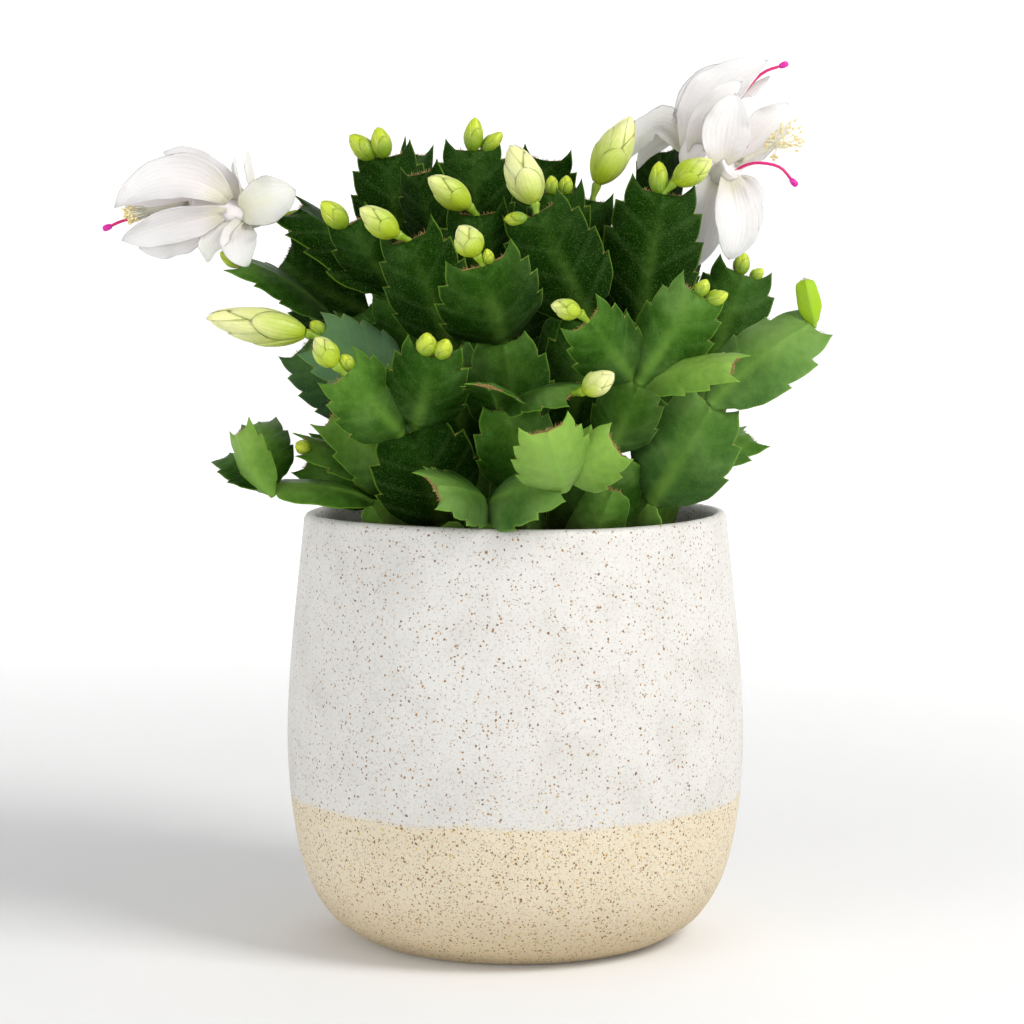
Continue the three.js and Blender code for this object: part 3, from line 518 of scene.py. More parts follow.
WOOLLY_TIPS = {
    "m1": 1, "b3": 1, "q3c": 1, "l13": 1, "l12": 0.8, "b1": 0.8, "r6": 0, "l8": 0.6, "q3b": 0.6,
}
STALK = [[0, 0], [2.2, 0], [2.3, 0.3], [2.0, 0.62], [2.35, 0.84], [1.9, 0.97], [0, 1]]
AGE_AND_LIGHT_GREENS = [
    (0.0, (0.001, 0.01, 0.0002, 1)),
    (0.3, (0.0075, 0.042, 0.001, 1)),
    (0.6, (0.062, 0.165, 0.016, 1)),
    (1.0, (0.28, 0.46, 0.08, 1)),
]
GREY_DARK, GREY_PALE = (0.06, 0.135, 0.07, 1), (0.15, 0.25, 0.13, 1)
LIME = (0.33, 0.52, 0.008, 1)
SHEEN_GREEN = (0.16, 0.26, 0.09, 1)
RIB_AND_HIGHLIGHT_GREEN = (0.18, 0.36, 0.05, 1)
EDGE_HIGHLIGHT_GREEN = (0.22, 0.42, 0.03, 1)
VEIN_GREEN = (0.2, 0.34, 0.1, 1)
DOT_GREEN = (0.24, 0.38, 0.08, 1)
CORK_DARK, CORK_PALE = (0.055, 0.035, 0.018, 1), (0.2, 0.14, 0.075, 1)
FUZZ_DARK, FUZZ_PALE = (0.12, 0.06, 0.025, 1), (0.42, 0.25, 0.1, 1)


def lines_of(table):
    """Each line's leading names, and its numbers."""
    for words in map(str.split, table.strip().splitlines()):
        names = [word for word in words if word[0].isalpha()]
        yield names, [float(word) for word in words[len(names) :]]


def unit(v):
    """A vector, or each of an array of them, at length 1."""
    return v / np.linalg.norm(v, axis=-1, keepdims=True)


def facing(compass, above):
    """The direction at a compass bearing and a climb, both in degrees."""
    a, e = np.radians(compass), np.radians(above)
    return np.array([np.sin(a) * np.cos(e), -np.cos(a) * np.cos(e), np.sin(e)])


def frame_of(base, tip, face, lift):
    """A joint's axis, its broad side's normal square to it, its right side, and its length."""
    axis = unit(tip - base)
    normal = facing(face, lift)
    normal = unit(normal - axis * (normal @ axis))
    return axis, normal, np.cross(axis, normal), np.linalg.norm(tip - base)


def round_about(base, tip):
    """Two directions square to a line and to each other."""
    axis = unit(tip - base)
    aside = unit(np.cross(axis, [0.3, 0.9, 0.2] if abs(axis[1]) < 0.8 else [0.9, 0.1, 0.3]))
    return aside, np.cross(axis, aside)


def ring_of(turn, aside, other):
    """The directions at angles from the first of two square directions to the other."""
    cosine, sine = (np.expand_dims(f(turn), -1) for f in (np.cos, np.sin))
    return cosine * aside + sine * other


def kept(share):
    """Three numbers at each point of a grid, each from a grid, a row, a column or one number."""
    return np.stack(np.broadcast_arrays(*share), axis=-1).reshape(-1, 3)


def outline_of(cut, neck):
    """The margin from neck to tip: runs between the cut's corners, each bulged by q (1 - q)^2.

    The bulge is fullest at a third of the run, so the run ends straight and its last corner is a
    sharp tooth.
    """
    runs = []
    for (a, b, _, _), (c, d, bulge, steps) in zip(cut, cut[1:]):
        q = np.linspace(0, 1, steps, endpoint=False)
        hump = 6.75 * q * (1 - q) ** 2 * bulge
        run = a + (c - a) * q - (d - b) * hump, b + (d - b) * q + (c - a) * hump
        runs.append(np.stack(run, axis=1))
    line = np.concatenate(runs + [[cut[-1][:2]]])
    line[0, 0] = neck
    return line


def blade(middle, normals, halves, *shares):
    """A closed thin body: a middle surface moved both ways along its normals by its half thickness.

    The two sides meet where the half thickness is nothing, and a strip closes the first row. The
    shares are the same on both.
    """
    rows, columns = middle.shape[:2]
    front = (middle + normals * halves[..., None]).reshape(-1, 3)
    back = (middle - normals * halves[..., None]).reshape(-1, 3)
    faces = grid_faces(rows, columns)
    j, over = np.arange(columns - 1), rows * columns
    strip = np.stack([j, j + over, j + 1 + over, j + 1], axis=-1)
    faces = np.concatenate([faces, faces[:, ::-1] + over, strip])
    shares = [np.tile(kept(share), (2, 1)) for share in shares]
    return [np.concatenate([front, back]), faces, *shares]


def rod(profile, base, tip, sides, flute=0.0, ends=(0, 1), across=0.3):
    """A form turned on a line from points [radius, share of the line].

    Flutes are a soft wave in the radius, one for every three of its sides. Its place runs from one
    of the ends to the other, ring by ring.
    """
    turn = turns(sides)
    r, share = np.asarray(profile, float).T
    r = r[:, None] * (1 + flute * np.cos(sides / 3 * turn))
    ring = ring_of(turn, *round_about(base, tip))
    points = base + share[:, None, None] * (tip - base) + r[..., None] * ring
    place = np.repeat(np.linspace(*ends, len(profile)), sides), across, 0
    return points.reshape(-1, 3), grid_faces(len(profile), sides, closed=True), kept(place)


def joint_body(row, base, cut, chance, woolly):
    """A joint as a blade: lines curve from the rib forward to the margin, so the teeth sweep up.

    The middle surface is bowed along the rib, bent back at the margins and waved a little, and each
    half is a little full. It is thickest at the rib, where a narrow ridge stands proud, and rounds
    off at the edge. Gives points, faces, growth with its painted light, place and edge, and for the
    areoles the line of the blunt tip and the inner corners of the notches.
    """
    name, _, *tip, width, face, lift = row
    axis, normal, side, length = frame_of(base, tip, face, lift)
    edge = outline_of(cut, -NECK_SINK / length)
    neck, out = edge[0, 0], edge[:, 1:]
    walked = np.cumsum(np.hypot(*np.diff(edge * [length, width / 2], axis=0).T))
    walked = np.concatenate([[0], walked])
    rib = neck + (TIP_END - neck) * (walked / walked[-1]) ** 1.15
    far = np.abs(ACROSS)
    along = rib[:, None] * (1 - far**1.5) + edge[:, :1] * far**1.5
    across = out * ACROSS
    wave = np.sin(2 * np.pi * (1.6 * along + chance)) * across**2
    wave = wave + 0.6 * np.sin(2 * np.pi * (3.3 * along - chance)) * across**4
    rise = BOW * length * 4 * np.maximum(along, 0) * (1 - along) - CUP * width * across**2
    rise = rise + 0.022 * width * wave
    rise = rise + 0.035 * width * np.sin(np.pi * np.clip(far * 1.15, 0, 1)) * np.clip(out, 0, 1)
    swing = 0.02 * width * np.sin(2 * np.pi * chance) * np.sin(np.pi * np.clip(along, 0, 1))
    out_by = (across * width / 2 + swing)[..., None] * side
    middle = base + along[..., None] * length * axis + out_by + rise[..., None] * normal
    body = 0.42 + 0.55 * (1 - far) ** 1.5 + 0.5 * np.exp(-((across * width / 2 / 0.9) ** 2))
    body = body * np.sqrt(1 - np.clip((far - 0.8) / 0.2, 0, 1) ** 2)
    body = body * np.clip(0.55 + along * 6, 0.5, 1)
    # The rule paints light and shade: joints higher up and further back come out darker.
    by_rule = np.clip(0.5 - 0.0056 * (tip[2] - 150) - 0.0034 * (tip[1] + 40), 0.0, 0.7)
    tone = BRIGHT.get(name, by_rule + 0.16 * (chance - 0.5))
    height = base[2] + along * (tip[2] - base[2]) - SOIL_TOP
    cork = np.clip(1 - height / CORK_HIGH, 0, 1) ** 1.5 * (1 - 0.6 * (tip[1] < -55))
    blunt = np.clip((along - 0.93) / 0.04, 0, 1) * (out < 0.42) * np.clip((far - 0.9) / 0.08, 0, 1)
    end = np.flatnonzero((edge[:, 1] < 0.41) & (edge[:, 0] > 0.9))
    arc = np.concatenate([middle[end, 0], middle[end[::-1], -1]])
    back = np.diff(edge[:, 0]) < 0
    inner = np.flatnonzero(back[:-1] & (np.diff(edge[1:, 0]) > 0)) + 1
    notch = np.isin(np.arange(len(edge)), inner)[:, None] * np.clip((far - 0.95) / 0.05, 0, 1)
    wool = np.maximum(blunt * woolly, notch * 0.35 * min(woolly + 0.3, 1))
    shares = (tone, cork, BLUISH.get(name, 0.0)), (along, across, wool), (far + 0 * along, far, far)
    areole = arc, middle[inner][:, [0, -1]], axis, normal, side, woolly
    return blade(middle, normal + 0 * middle, body, *shares), areole


def far_stem(ring, index):
    """The rows of one stem of the far side: a chain in one upright plane, ever less steep."""
    name, first, last, total, start, climbs, fork, shoot = ring
    state = start * 97 + index * 13 + 5
    turn = first + (last - first) * index / (total - 1)
    rows = []

    def draw():
        nonlocal state
        state = state * 16807 % 2147483647
        return state / 2147483647

    def grow(joint, parent, reach, height, sway, width, lift):
        a = np.radians(turn + sway)
        tip = reach * np.cos(a), reach * np.sin(a), height
        rows.append((joint, parent, *tip, width, turn + 90, lift))

    reach, height, parent = start, SOIL_TOP + 3, "root"
    grow(parent, "", reach, height, 0, 0, 0)
    for i, climb in enumerate(climbs):
        angle = np.radians(climb + 8 * (draw() - 0.5))
        length = FAR_LENGTH * (0.92 + 0.16 * draw())
        reach += length * np.cos(angle)
        height += length * np.sin(angle)
        joint = f"{name}{index}_{i + 1}"
        sway = 5 * (draw() - 0.5) - (fork if i > 1 else 0)
        grow(joint, parent, reach, height, sway, FAR_WIDTHS[i], 90 - climb)
        if i == 0 and shoot:
            grow(joint + "_shoot", joint, reach + 27, height + 16, shoot, 18, 60)
        if i == 1:
            grow(joint + "_fork", joint, reach + 12, height + 28, fork, 23, 20)
        parent = joint
    return rows


def cut_of(width, parent, carries):
    """The oldest and smallest joints are smooth, carriers have lost their horns."""
    if parent == "root" or width < 10:
        return WORN
    if carries:
        return WORN if width < 20 else CARRIER
    return PLAIN if width < 24 else TOOTHED


def branch_point(row, rows, spots):
    """Joints on one parent stand side by side along its tip edge, in the order of their lean."""
    tip, grown, width = spots[row[1]]
    if grown is None:
        return tip
    side = grown[2]
    sharing = [r for r in rows if r[1] == row[1]]
    sharing.sort(key=lambda r: (np.array(r[2:5]) - tip) @ side)
    rank = [r[0] for r in sharing].index(row[0]) - (len(sharing) - 1) / 2
    return tip + side * rank * SHARE_STEP * width


def green_flesh():
    """Waxy skin: deep to bright green, partly by age and partly by painted light and shade, with
    painted shade towards each joint's base and margins, a paler rib that is partly a painted
    highlight, a painted highlight along the edge, painted grey-green sheen, faint side veins, cork
    below.

    It reads the growth of each point with its painted light (brightness, cork, and bloom that is
    grey above 0 and lime below), its place (along, across, wool) and how near it is to the edge.
    """
    finish, place = new_finish("green_flesh")
    bright, cork, bloom = kept_share(place, "growth_and_light")
    along, across, wool = kept_share(place, "place")
    aside = across.math("ABSOLUTE")
    wide, fine, dust = place.grain(60), place.grain(420), place.grain(2600, 1.0)
    shift = (wide - 0.5) * 0.3 + (fine - 0.5) * 0.22
    # Painted shade: each joint is darker towards its base and its margins, lighter towards its tip
    # and along its middle.
    shift = shift + (along.between(-0.1, 1.05) * 0.24 + aside.between(0.9, 0.1) * 0.12)
    tone = bright + (shift - 0.22)
    flesh = tone.made("ValToRGB", (0, tone))
    ramp = flesh.socket.node.color_ramp
    ramp.interpolation = "B_SPLINE"
    while len(ramp.elements) < len(AGE_AND_LIGHT_GREENS):
        ramp.elements.new(0.5)
    for stop, (at_tone, green) in zip(ramp.elements, AGE_AND_LIGHT_GREENS):
        stop.position, stop.color = at_tone, green
    # Painted sheen: grey-green patches where the waxy skin catches the light, more on brighter
    # joints.
    painted_sheen = wide.between(0.42, 0.7) * tone.between(0.0, 0.7)
    # The paler rib is partly its own colour and partly a painted highlight on the ridge, most near
    # the base and on brighter joints.
    rib = aside.between(0.24, 0.0) * along.between(1.0, 0.0) * tone.from_to(0.12, 0.5, 0.4)
    # Painted highlight: a thin light green line along each joint's margin.
    rim = place.made("Attribute", out="Fac", attribute_name="edge").between(0.955, 1.0)
    vein = ((along - aside * 0.34) * 24.0).math("SINE").between(0.55, 1.0)
    coats = [
        (bloom * 0.7, bright.mix(GREY_DARK, GREY_PALE)),
        (bloom * -0.8, LIME),
        (painted_sheen * 0.3, SHEEN_GREEN),
        (rib, RIB_AND_HIGHLIGHT_GREEN),
        (rim * 0.42, EDGE_HIGHLIGHT_GREEN),
        (vein * 0.04, VEIN_GREEN),
        (dust.between(0.5, 0.75) * 0.14, DOT_GREEN),
        (cork * 0.85, fine.mix(CORK_DARK, CORK_PALE)),
        (wool.between(0.12, 0.6), dust.mix(FUZZ_DARK, FUZZ_PALE)),
    ]
    relief = (vein * 0.25 + dust) * 0.052 + wide
    return dressed(finish, {
        "Base Color": flesh.under(*coats),
        "Roughness": fine.from_to(0.36, 0.52) + cork * 0.4,
        "Specular IOR Level": tone.from_to(0.07, 0.32),
        "Specular Tint": (0.3, 0.7, 0.16, 1),
        "Normal": relief.raised(0.0025),
    })


def stem_bodies(rows, spots, areoles, luck):
    """The stalk and joints of one stem, each a list of points, faces, growth with its painted
    light, place and edge.
    """
    foot = np.array(rows[0][2:5])
    spots["root"] = (foot, None, 0)
    ends = [*foot[:2], SOIL_TOP - STALK_SINK], foot + [0, 0, 1.4]
    points, faces, _ = rod(drawn_through(STALK, 3), *map(np.array, ends), 15, 0.05)
    shares = [np.tile(v, (len(points), 1)) for v in ([0.35, 1, 0], [0.3, 0.5, 0], [0.0, 0, 0])]
    made = [[points, faces, *shares]]
    for row in rows[1:]:
        name, parent, *tip, width, face, lift = row
        base = branch_point(row, rows, spots)
        spots[name] = (np.array(tip), frame_of(base, tip, face, lift), width)
        carries = any(r[1] == name for r in rows)
        woolly = WOOLLY_TIPS.get(name, 0.15 if carries else 0.55)
        cut = cut_of(width, parent, carries)
        body, areole = joint_body(row, base, cut, luck.random(), woolly)
        made.append(body)
        areoles.append(areole)
    return made


def gathered(bodies):
    """Several bodies as one: their points and shares end to end, and their faces counted on."""
    points, faces, *shares = zip(*bodies)
    starts = np.cumsum([0] + [len(p) for p in points[:-1]])
    faces = np.concatenate([f + start for f, start in zip(faces, starts)])
    return [np.concatenate(points), faces, *map(np.concatenate, shares)]


stem_finish = green_flesh()
stems = {}
for names, numbers in lines_of(STEMS):
    if len(names) == 1:
        rows = stems[names[0]] = [("root", "", *numbers, 0, 0, 0)]
    else:
        rows.append((*names, *numbers))
for ring in FAR_RINGS:
    for index in range(ring[3]):
        stems[ring[0] + str(index)] = far_stem(ring, index)
luck = np.random.default_rng(SEED)
spots, areoles = {}, []
for stem, rows in stems.items():
    body = gathered(stem_bodies(rows, spots, areoles, luck))
    keys = "growth_and_light", "place", "edge"
    piece(stem + "_joints", body, stem_finish, "green_flesh", [stem], *keys)

# The wool of the areoles: a close fringe of short brown bristles along the blunt tip of each joint
# and a few in each notch of its margin. They grow out of the skin; old joints have shed most.
BRISTLE_LONG = 1.3
BRISTLE_THICK = 0.09
WOOL_DARK, WOOL_PALE = (0.13, 0.065, 0.02, 1), (0.66, 0.46, 0.17, 1)


def stray(luck, count):
    """So many numbers from -0.5 to 0.5, one under the other."""
    return luck.random((count, 1)) - 0.5


def bristles(roots, ways, luck):
    """Three-sided spikes, each a foot, a waist and a tip a sixth as thick, bent past the waist."""
    aside = unit(np.cross(ways, [0.35, 0.8, 0.48]))
    other = np.cross(ways, aside)
    ring = ring_of(turns(3), aside[:, None], other[:, None])
    long = BRISTLE_LONG * (0.35 + 0.65 * luck.random((len(roots), 1)))
    bend = (aside * stray(luck, len(roots)) + other * stray(luck, len(roots))) * long
    middle = [roots - ways * 0.3, roots + ways * long * 0.5, roots + ways * long + bend]
    thick = BRISTLE_THICK * np.array([1, 0.7, 0.16])[None, :, None, None]
    points = (np.stack(middle, axis=1)[:, :, None] + thick * ring[:, None]).reshape(-1, 3)
    one = np.concatenate([grid_faces(3, 3, closed=True), [[2, 1, 0, 0], [6, 7, 8, 8]]])
    return points, (9 * np.arange(len(roots))[:, None, None] + one).reshape(-1, 4)


def fringe(areole, luck):
    """Roots and directions of one joint's bristles: along the tip, and three in each notch."""
    arc, notches, axis, normal, side, woolly = areole
    at = luck.random(int(8 + 44 * woolly)) * (len(arc) - 1)
    low = at.astype(int)
    roots = arc[low] + (at - low)[:, None] * (arc[np.minimum(low + 1, len(arc) - 1)] - arc[low])
    ways = axis + side * stray(luck, len(at)) * 1.3 + normal * stray(luck, len(at)) * 1.5
    corners = np.repeat(notches.reshape(-1, 3), 3, axis=0)
    outward = np.tile(np.repeat([-1.0, 1.0], 3), len(notches))[:, None] * side
    spray = outward + axis * 0.6 + normal * stray(luck, len(corners)) * 1.6
    return np.concatenate([roots, corners]), unit(np.concatenate([ways, spray]))


def bristle_wool():
    """Dry horn: dark brown to tan, from one tuft to the next."""
    finish, place = new_finish("bristle_wool")
    tone = place.grain(260).mix(WOOL_DARK, WOOL_PALE)
    return dressed(finish, {"Base Color": tone, "Roughness": 0.7})


roots, ways = map(np.concatenate, zip(*[fringe(areole, luck) for areole in areoles]))
piece("areole_bristles", bristles(roots, ways, luck), bristle_wool(), "green_flesh", [])

# Small green buds at the tips of the outer joints: tight scales, each lapped by the next, on the
# woolly areole. They grow from the joint's tip edge, so they are part of the stem.
# Lines: joint, place along its tip edge from -1 (left) to 1, lean in degrees, length, width.
GREEN_BUDS = """
c8 -0.8 -40 10 6.5
c8 -0.1 -6 9 6.4
c6 0 8 9.8 5.8
c6 0.7 50 7.6 4.5
l1 -0.6 -10 10.5 6.8
c3 0.4 0 4 3
e2 -0.5 -5 5 4
e2 0.5 5 5 4.2
c2 -0.6 -60 6.2 4.5
c1 -0.2 -8 9.4 5.6
r5 -0.2 -8 6.4 5
r5 0.7 25 4 3.6
q3b 0.1 -5 4.6 4.2
q3b 0.8 35 6 4.6
l6 0.5 10 4.2 4
l7 0.6 10 4.2 4
l8 -0.4 -8 6.4 5.8
l8 0.5 12 5.8 5.2
l12 0 -30 4.4 4.2
l5 0 -5 6.8 4.6
"""
TIP_EDGE = 0.16
TIP_FALL = 0.06
BUD_SIDES = 15
SCALE_ENDS = [0.62, 0.72, 0.82, 0.93, 0.99]
GOLDEN_TURN = 2.4
YOUNG = (0.19, 0.33, 0.008, 1), (0.52, 0.63, 0.03, 1), (0.6, 0.69, 0.1, 1)


def scale(base, tip, width, turn, spread, ends, proud):
    """One scale or tepal that hugs an egg-shaped bud, as a closed blade.

    Along it the egg's radius is the sine of the length share, raised to a power; across it the
    angle runs over the spread, narrowed to a point at its end; it stands proud of the egg, most at
    its middle and its tip.
    """
    q = np.linspace(0.02, 1, 12)[:, None]
    a = np.linspace(-1, 1, 9)[None, :]
    share = q * ends
    radius = width / 2 * np.sin(np.pi * np.clip(share, 0.02, 0.985) ** 0.85) ** 0.62
    angle = turn + a * spread * np.clip(1 - q**2.6, 0, 1) ** 0.75
    lift = proud * (0.35 + 0.65 * q) * (1 - 0.55 * a**2)
    out = ring_of(angle, *round_about(base, tip))
    middle = base + share[..., None] * (tip - base) + (radius + lift)[..., None] * out
    halves = 0.2 * np.sqrt(np.clip(1 - a**2, 0, 1)) * np.clip((1 - q) * 6, 0, 1) ** 0.5
    return blade(middle, out, halves, (share, a, 0))


def egg(base, tip, width):
    """The closed core of a bud: its radius is a power of the sine of the length share."""
    share = np.linspace(0, 1, 13)
    radius = width / 2 * np.sin(np.pi * share**0.85) ** 0.62
    radius[[0, -1]] = 0
    return rod(np.stack([radius, share], axis=1), base, tip, BUD_SIDES, across=0.4)


def sunk_light(share, reach, depth):
    """How much light sinks into the flesh, how far each colour goes in it, and that depth."""
    return {"Subsurface Weight": share, "Subsurface Radius": reach, "Subsurface Scale": depth}


def bud_flesh(name, low, high, edge, end):
    """Tepals from one colour at the base to another, finely veined, with a paler edge."""
    finish, place = new_finish(name)
    along, across, lot = kept_share(place, "place")
    cloud = (place.grain(300, 3.0) - 0.5) * 0.35
    flesh = (along + (cloud + lot)).between(0.1, end).mix(low, high)
    vein = (across * 26.0).math("SINE").between(0.2, 1.0)
    rim = across.math("ABSOLUTE").between(0.72, 1.0)
    relief = vein * 0.5 + place.grain(1500)
    return dressed(finish, {
        "Base Color": flesh.under((vein * 0.16, low), (rim * 0.5, edge)),
        "Roughness": 0.42,
        "Normal": relief.raised(0.00012),
        **sunk_light(0.35, (1.0, 0.9, 0.5), 0.0015),
    })


small_buds = []
for (name,), (across, lean, length, width) in lines_of(GREEN_BUDS):
    tip, (axis, normal, side, _), joint_width = spots[name]
    a = np.radians(lean)
    way = axis * np.cos(a) + side * np.sin(a)
    start = tip + side * across * TIP_EDGE * joint_width - axis * NECK_SINK
    start = start - normal * TIP_FALL * joint_width * across**2
    end = start + way * (length + NECK_SINK)
    small_buds.append(egg(start, end, width))
    for k, ends in enumerate(SCALE_ENDS):
        form = k * GOLDEN_TURN, 1.25 - 0.13 * k, ends, 0.22 - 0.03 * k
        small_buds.append(scale(start, end, width, *form))
young_tepal = bud_flesh("young_tepal", *YOUNG, 0.9)
piece("green_buds", gathered(small_buds), young_tepal, "green_flesh", [], "place")

# The buds about to open: three turns of tepals wrapped tight round each other, lime where they
# leave the ovary and cream to white at the tip, where the petals inside push them apart.
# Lines: name, joint that carries it, base, tip, width, how white it has turned, from -0.3 to 0.3,
# and how far it has opened.
BLOOM_BUDS = """
bloom_bud_1 c5 -14.5 -32 238.6 -27.2 -39 247.4 8.9 -0.24 0
bloom_bud_2 c4 -36.4 -49.8 229.4 -47.7 -55 237.6 8.2 -0.24 0
bloom_bud_3 c3 -11.5 -71 223 -17 -72 232 8.6 -0.1 0
bloom_bud_4 c2 6.2 -34 239.4 -1.6 -32 257.8 11.2 0.26 0.5
bloom_bud_5 e3 26.4 -4 246.4 37.6 -4 268.1 11.6 0.0 0.3
bloom_bud_6 c1 50.6 -16 246.4 62.7 -17 253.6 8.2 -0.24 0
bloom_bud_7 l7 -54.4 -71 189.8 -60.4 -72 198.6 7.3 -0.24 0
bloom_bud_8 l6 -65.4 -41 199 -96.4 -43 204 11 0.16 0.9
bloom_bud_9 q3a 19.2 -82 206 10.4 -84 208.4 5.8 -0.24 0
bloom_bud_10 m2 20.2 -80.6 182.4 29.4 -83 188 7.2 0.1 0
"""
TEPAL_ENDS = [0.5, 0.56, 0.62, 0.76, 0.8, 0.85, 0.95, 0.98, 1.0]
TEPAL_SPREADS = [1.25, 1.2, 1.15, 1.1, 1.05, 1.0, 1.0, 0.95, 0.9]
OVARY = [[0, 0], [0.9, 0.02], [0.95, 0.35], [1.3, 0.62], [1.5, 0.8], [1.3, 0.96], [0, 1]]
TEPAL = (0.42, 0.57, 0.015, 1), (0.84, 0.84, 0.38, 1), (0.56, 0.68, 0.06, 1)


def wrapped_bud(base, tip, width, white, opening):
    """An egg with nine lapped tepals: three whorls, each longer than the one outside it."""
    bodies = [egg(base, tip, width * 0.94)]
    for k, (ends, spread) in enumerate(zip(TEPAL_ENDS, TEPAL_SPREADS)):
        proud = 0.34 - 0.03 * k + opening * (0.5 if k < 3 else 0.15)
        turn = 2 * np.pi * k / 3 + 0.7 * (k // 3)
        bodies.append(scale(base, tip, width * (1 - 0.008 * k), turn, spread, ends, proud))
    points, faces, place = gathered(bodies)
    return points, faces, place + [0, 0, white]


def ovary(joint, base, way):
    """The green ovary and its stalk: a slim flask from inside the joint's tip to the bloom."""
    tip, (axis, *_), _ = spots[joint]
    line = tip - axis * NECK_SINK, base + way * 0.5
    return rod(drawn_through(OVARY, 3), *line, BUD_SIDES, 0.06, ends=(0, 0.5))


tepal = bud_flesh("bud_tepal", *TEPAL, 1.0)
ovaries = []
for (name, joint), numbers in lines_of(BLOOM_BUDS):
    base, tip = np.reshape(numbers[:6], (2, 3))
    ovaries.append(ovary(joint, base, unit(tip - base)))
    bud = wrapped_bud(base, tip, *numbers[6:])
    piece(name + "_tepals", bud, tepal, "bud_tepals", [name], "place")

# The open flowers: each a slim tube of fused petals in two stages, with flung-back outer petals at
# its foot and long ones at its mouth, papery white with a breath of pink. A sheaf of cream stamens
# and one magenta pistil stand out.
# Lines: a flower and its joint; the tube's two ends, width at its root and at its mouth; a petal's
# root, middle, tip, width, where its inner face looks (compass degrees, degrees above level), and
# for old outer ones how green they still are; the stamens' ends and spread; the pistil's points.
FLOWERS = """
flower_left l2
tube -80.6 -15 234.6 -103.5 -15.6 239 4.6 5.2
petal -85.4 -16 237.8 -99 -17 250.5 -112.8 -15 256.4 10 -20 30 0
petal -91 -19.6 240.6 -108 -24 248 -128.3 -19 238.4 15 -10 15 0
petal -92 -20 236.6 -109 -23.5 232.5 -126 -18.5 227.6 12 0 -20 0
petal -98 -14 236 -109 -15 229.5 -121 -13 225 14 10 -25 0
petal -98.5 -13.6 239.4 -112 -8 243.5 -126 -8 238.5 16 190 10 0
petal -98 -13.4 238 -110 -8.5 233 -122 -7 228 13 180 -30 0
petal -87.5 -19 236.4 -79 -22.5 240.5 -69.6 -18.5 244.4 15.5 0 10 0.8
petal -86 -16 237 -89 -16.5 247.5 -90 -15 254.7 6 -75 0 0.5
petal -83.5 -14 237 -84.6 -12.5 248.5 -86.2 -12 256.9 6 -110 0 0.8
petal -87 -18 235 -94.5 -22.5 229.5 -98.5 -22.5 221 12 -30 20 0.6
petal -86 -18 235 -87.5 -25.5 227.5 -84.5 -26 219.5 12 0 0 0.3
petal -83.6 -13.2 236.6 -77.5 -5 241 -73 -3 244 12 180 20 0.6
stamens -104.2 -15.6 240 -123.5 -20.5 235.8 1.5
pistil -104.2 -15.6 237.2 -114 -16.5 236 -124 -17.6 234.6 -130 -18 232.2
flower_upper c1
tube 55.2 -3.6 251.6 60 1 262 4 4.4
petal 57.5 -1 255 63 -4 273.5 82 0 286.8 17.5 -25 10 0
petal 60 3 257 70.5 6 272 83.5 6 281 15 100 -20 0
petal 57 3 257 62.5 11 274 80 10 284.5 18 190 10 0
petal 56.4 2 256.6 45 5 265.4 31.6 8 248.6 15 -20 48 0.5
petal 56 2 256 50 12 262 40 18 252 13 200 60 0.5
petal 58 -2 254 62 -9 268 73 -9 279 11 20 10 0
stamens 60 0.4 262.8 76 3 284 1.5
pistil 61.6 3.4 262.6 71.5 0.5 273 79.6 1.5 281.8 86.8 2 284.8
flower_lower f2
tube 63.4 -3 247.4 70 -9 252 3.8 4.4
petal 67 -10 252 67.5 -14 263 70.5 -13.5 275 16 0 10 0
petal 69.2 -7.4 251.2 79.5 -9 263 88.5 -7 272 14 20 -10 0
petal 66.6 -7 250 61.5 -9 235 58.5 -6.5 219.6 15 -10 0 0
petal 68.5 -8.5 250 70.5 -16.5 234 68.5 -15 221.4 15 15 0 0
petal 70.5 -7 249 77.5 -6 240 75 -3.5 227 12 60 10 0
petal 68.6 -6 249.4 75 2 239 73 7 226.5 12 150 0 0
stamens 71.2 -8.6 252.8 90 -12 262 3.7
pistil 70.2 -10.7 250.4 76 -16 252.6 84 -17 251.4 88.6 -17 246.6
"""
PETAL_CUP = 0.16
PETAL_STEPS = 19
PETAL_HALF = np.array([0, 0.07, 0.24, 0.5, 0.76, 0.93, 1])
TUBE_SIDES = 24
STAMENS = 56
POLLEN_BAG = [[0, 0], [0.34, 0.2], [0.4, 0.5], [0.32, 0.82], [0, 1]]
LOBES = 6
LOBE = [[0, 0], [0.5, 0.15], [0.7, 0.5], [0.55, 0.82], [0, 1]]
THROAT_ROSE, PAPER_WHITE = (0.72, 0.66, 0.655, 1), (0.8, 0.775, 0.765, 1)
VEIN_PINK = (0.6, 0.52, 0.53, 1)
CREASE_PINK = (0.66, 0.5, 0.53, 1)
OLD_GREEN = (0.6, 0.64, 0.36, 1)
FOOT_CREAM = (0.62, 0.6, 0.33, 1)
STAMEN_CREAM, POLLEN = (0.86, 0.83, 0.66, 1), (0.84, 0.68, 0.3, 1)
STYLE_RED, LOBE_RED = (0.66, 0.008, 0.17, 1), (0.75, 0.01, 0.4, 1)


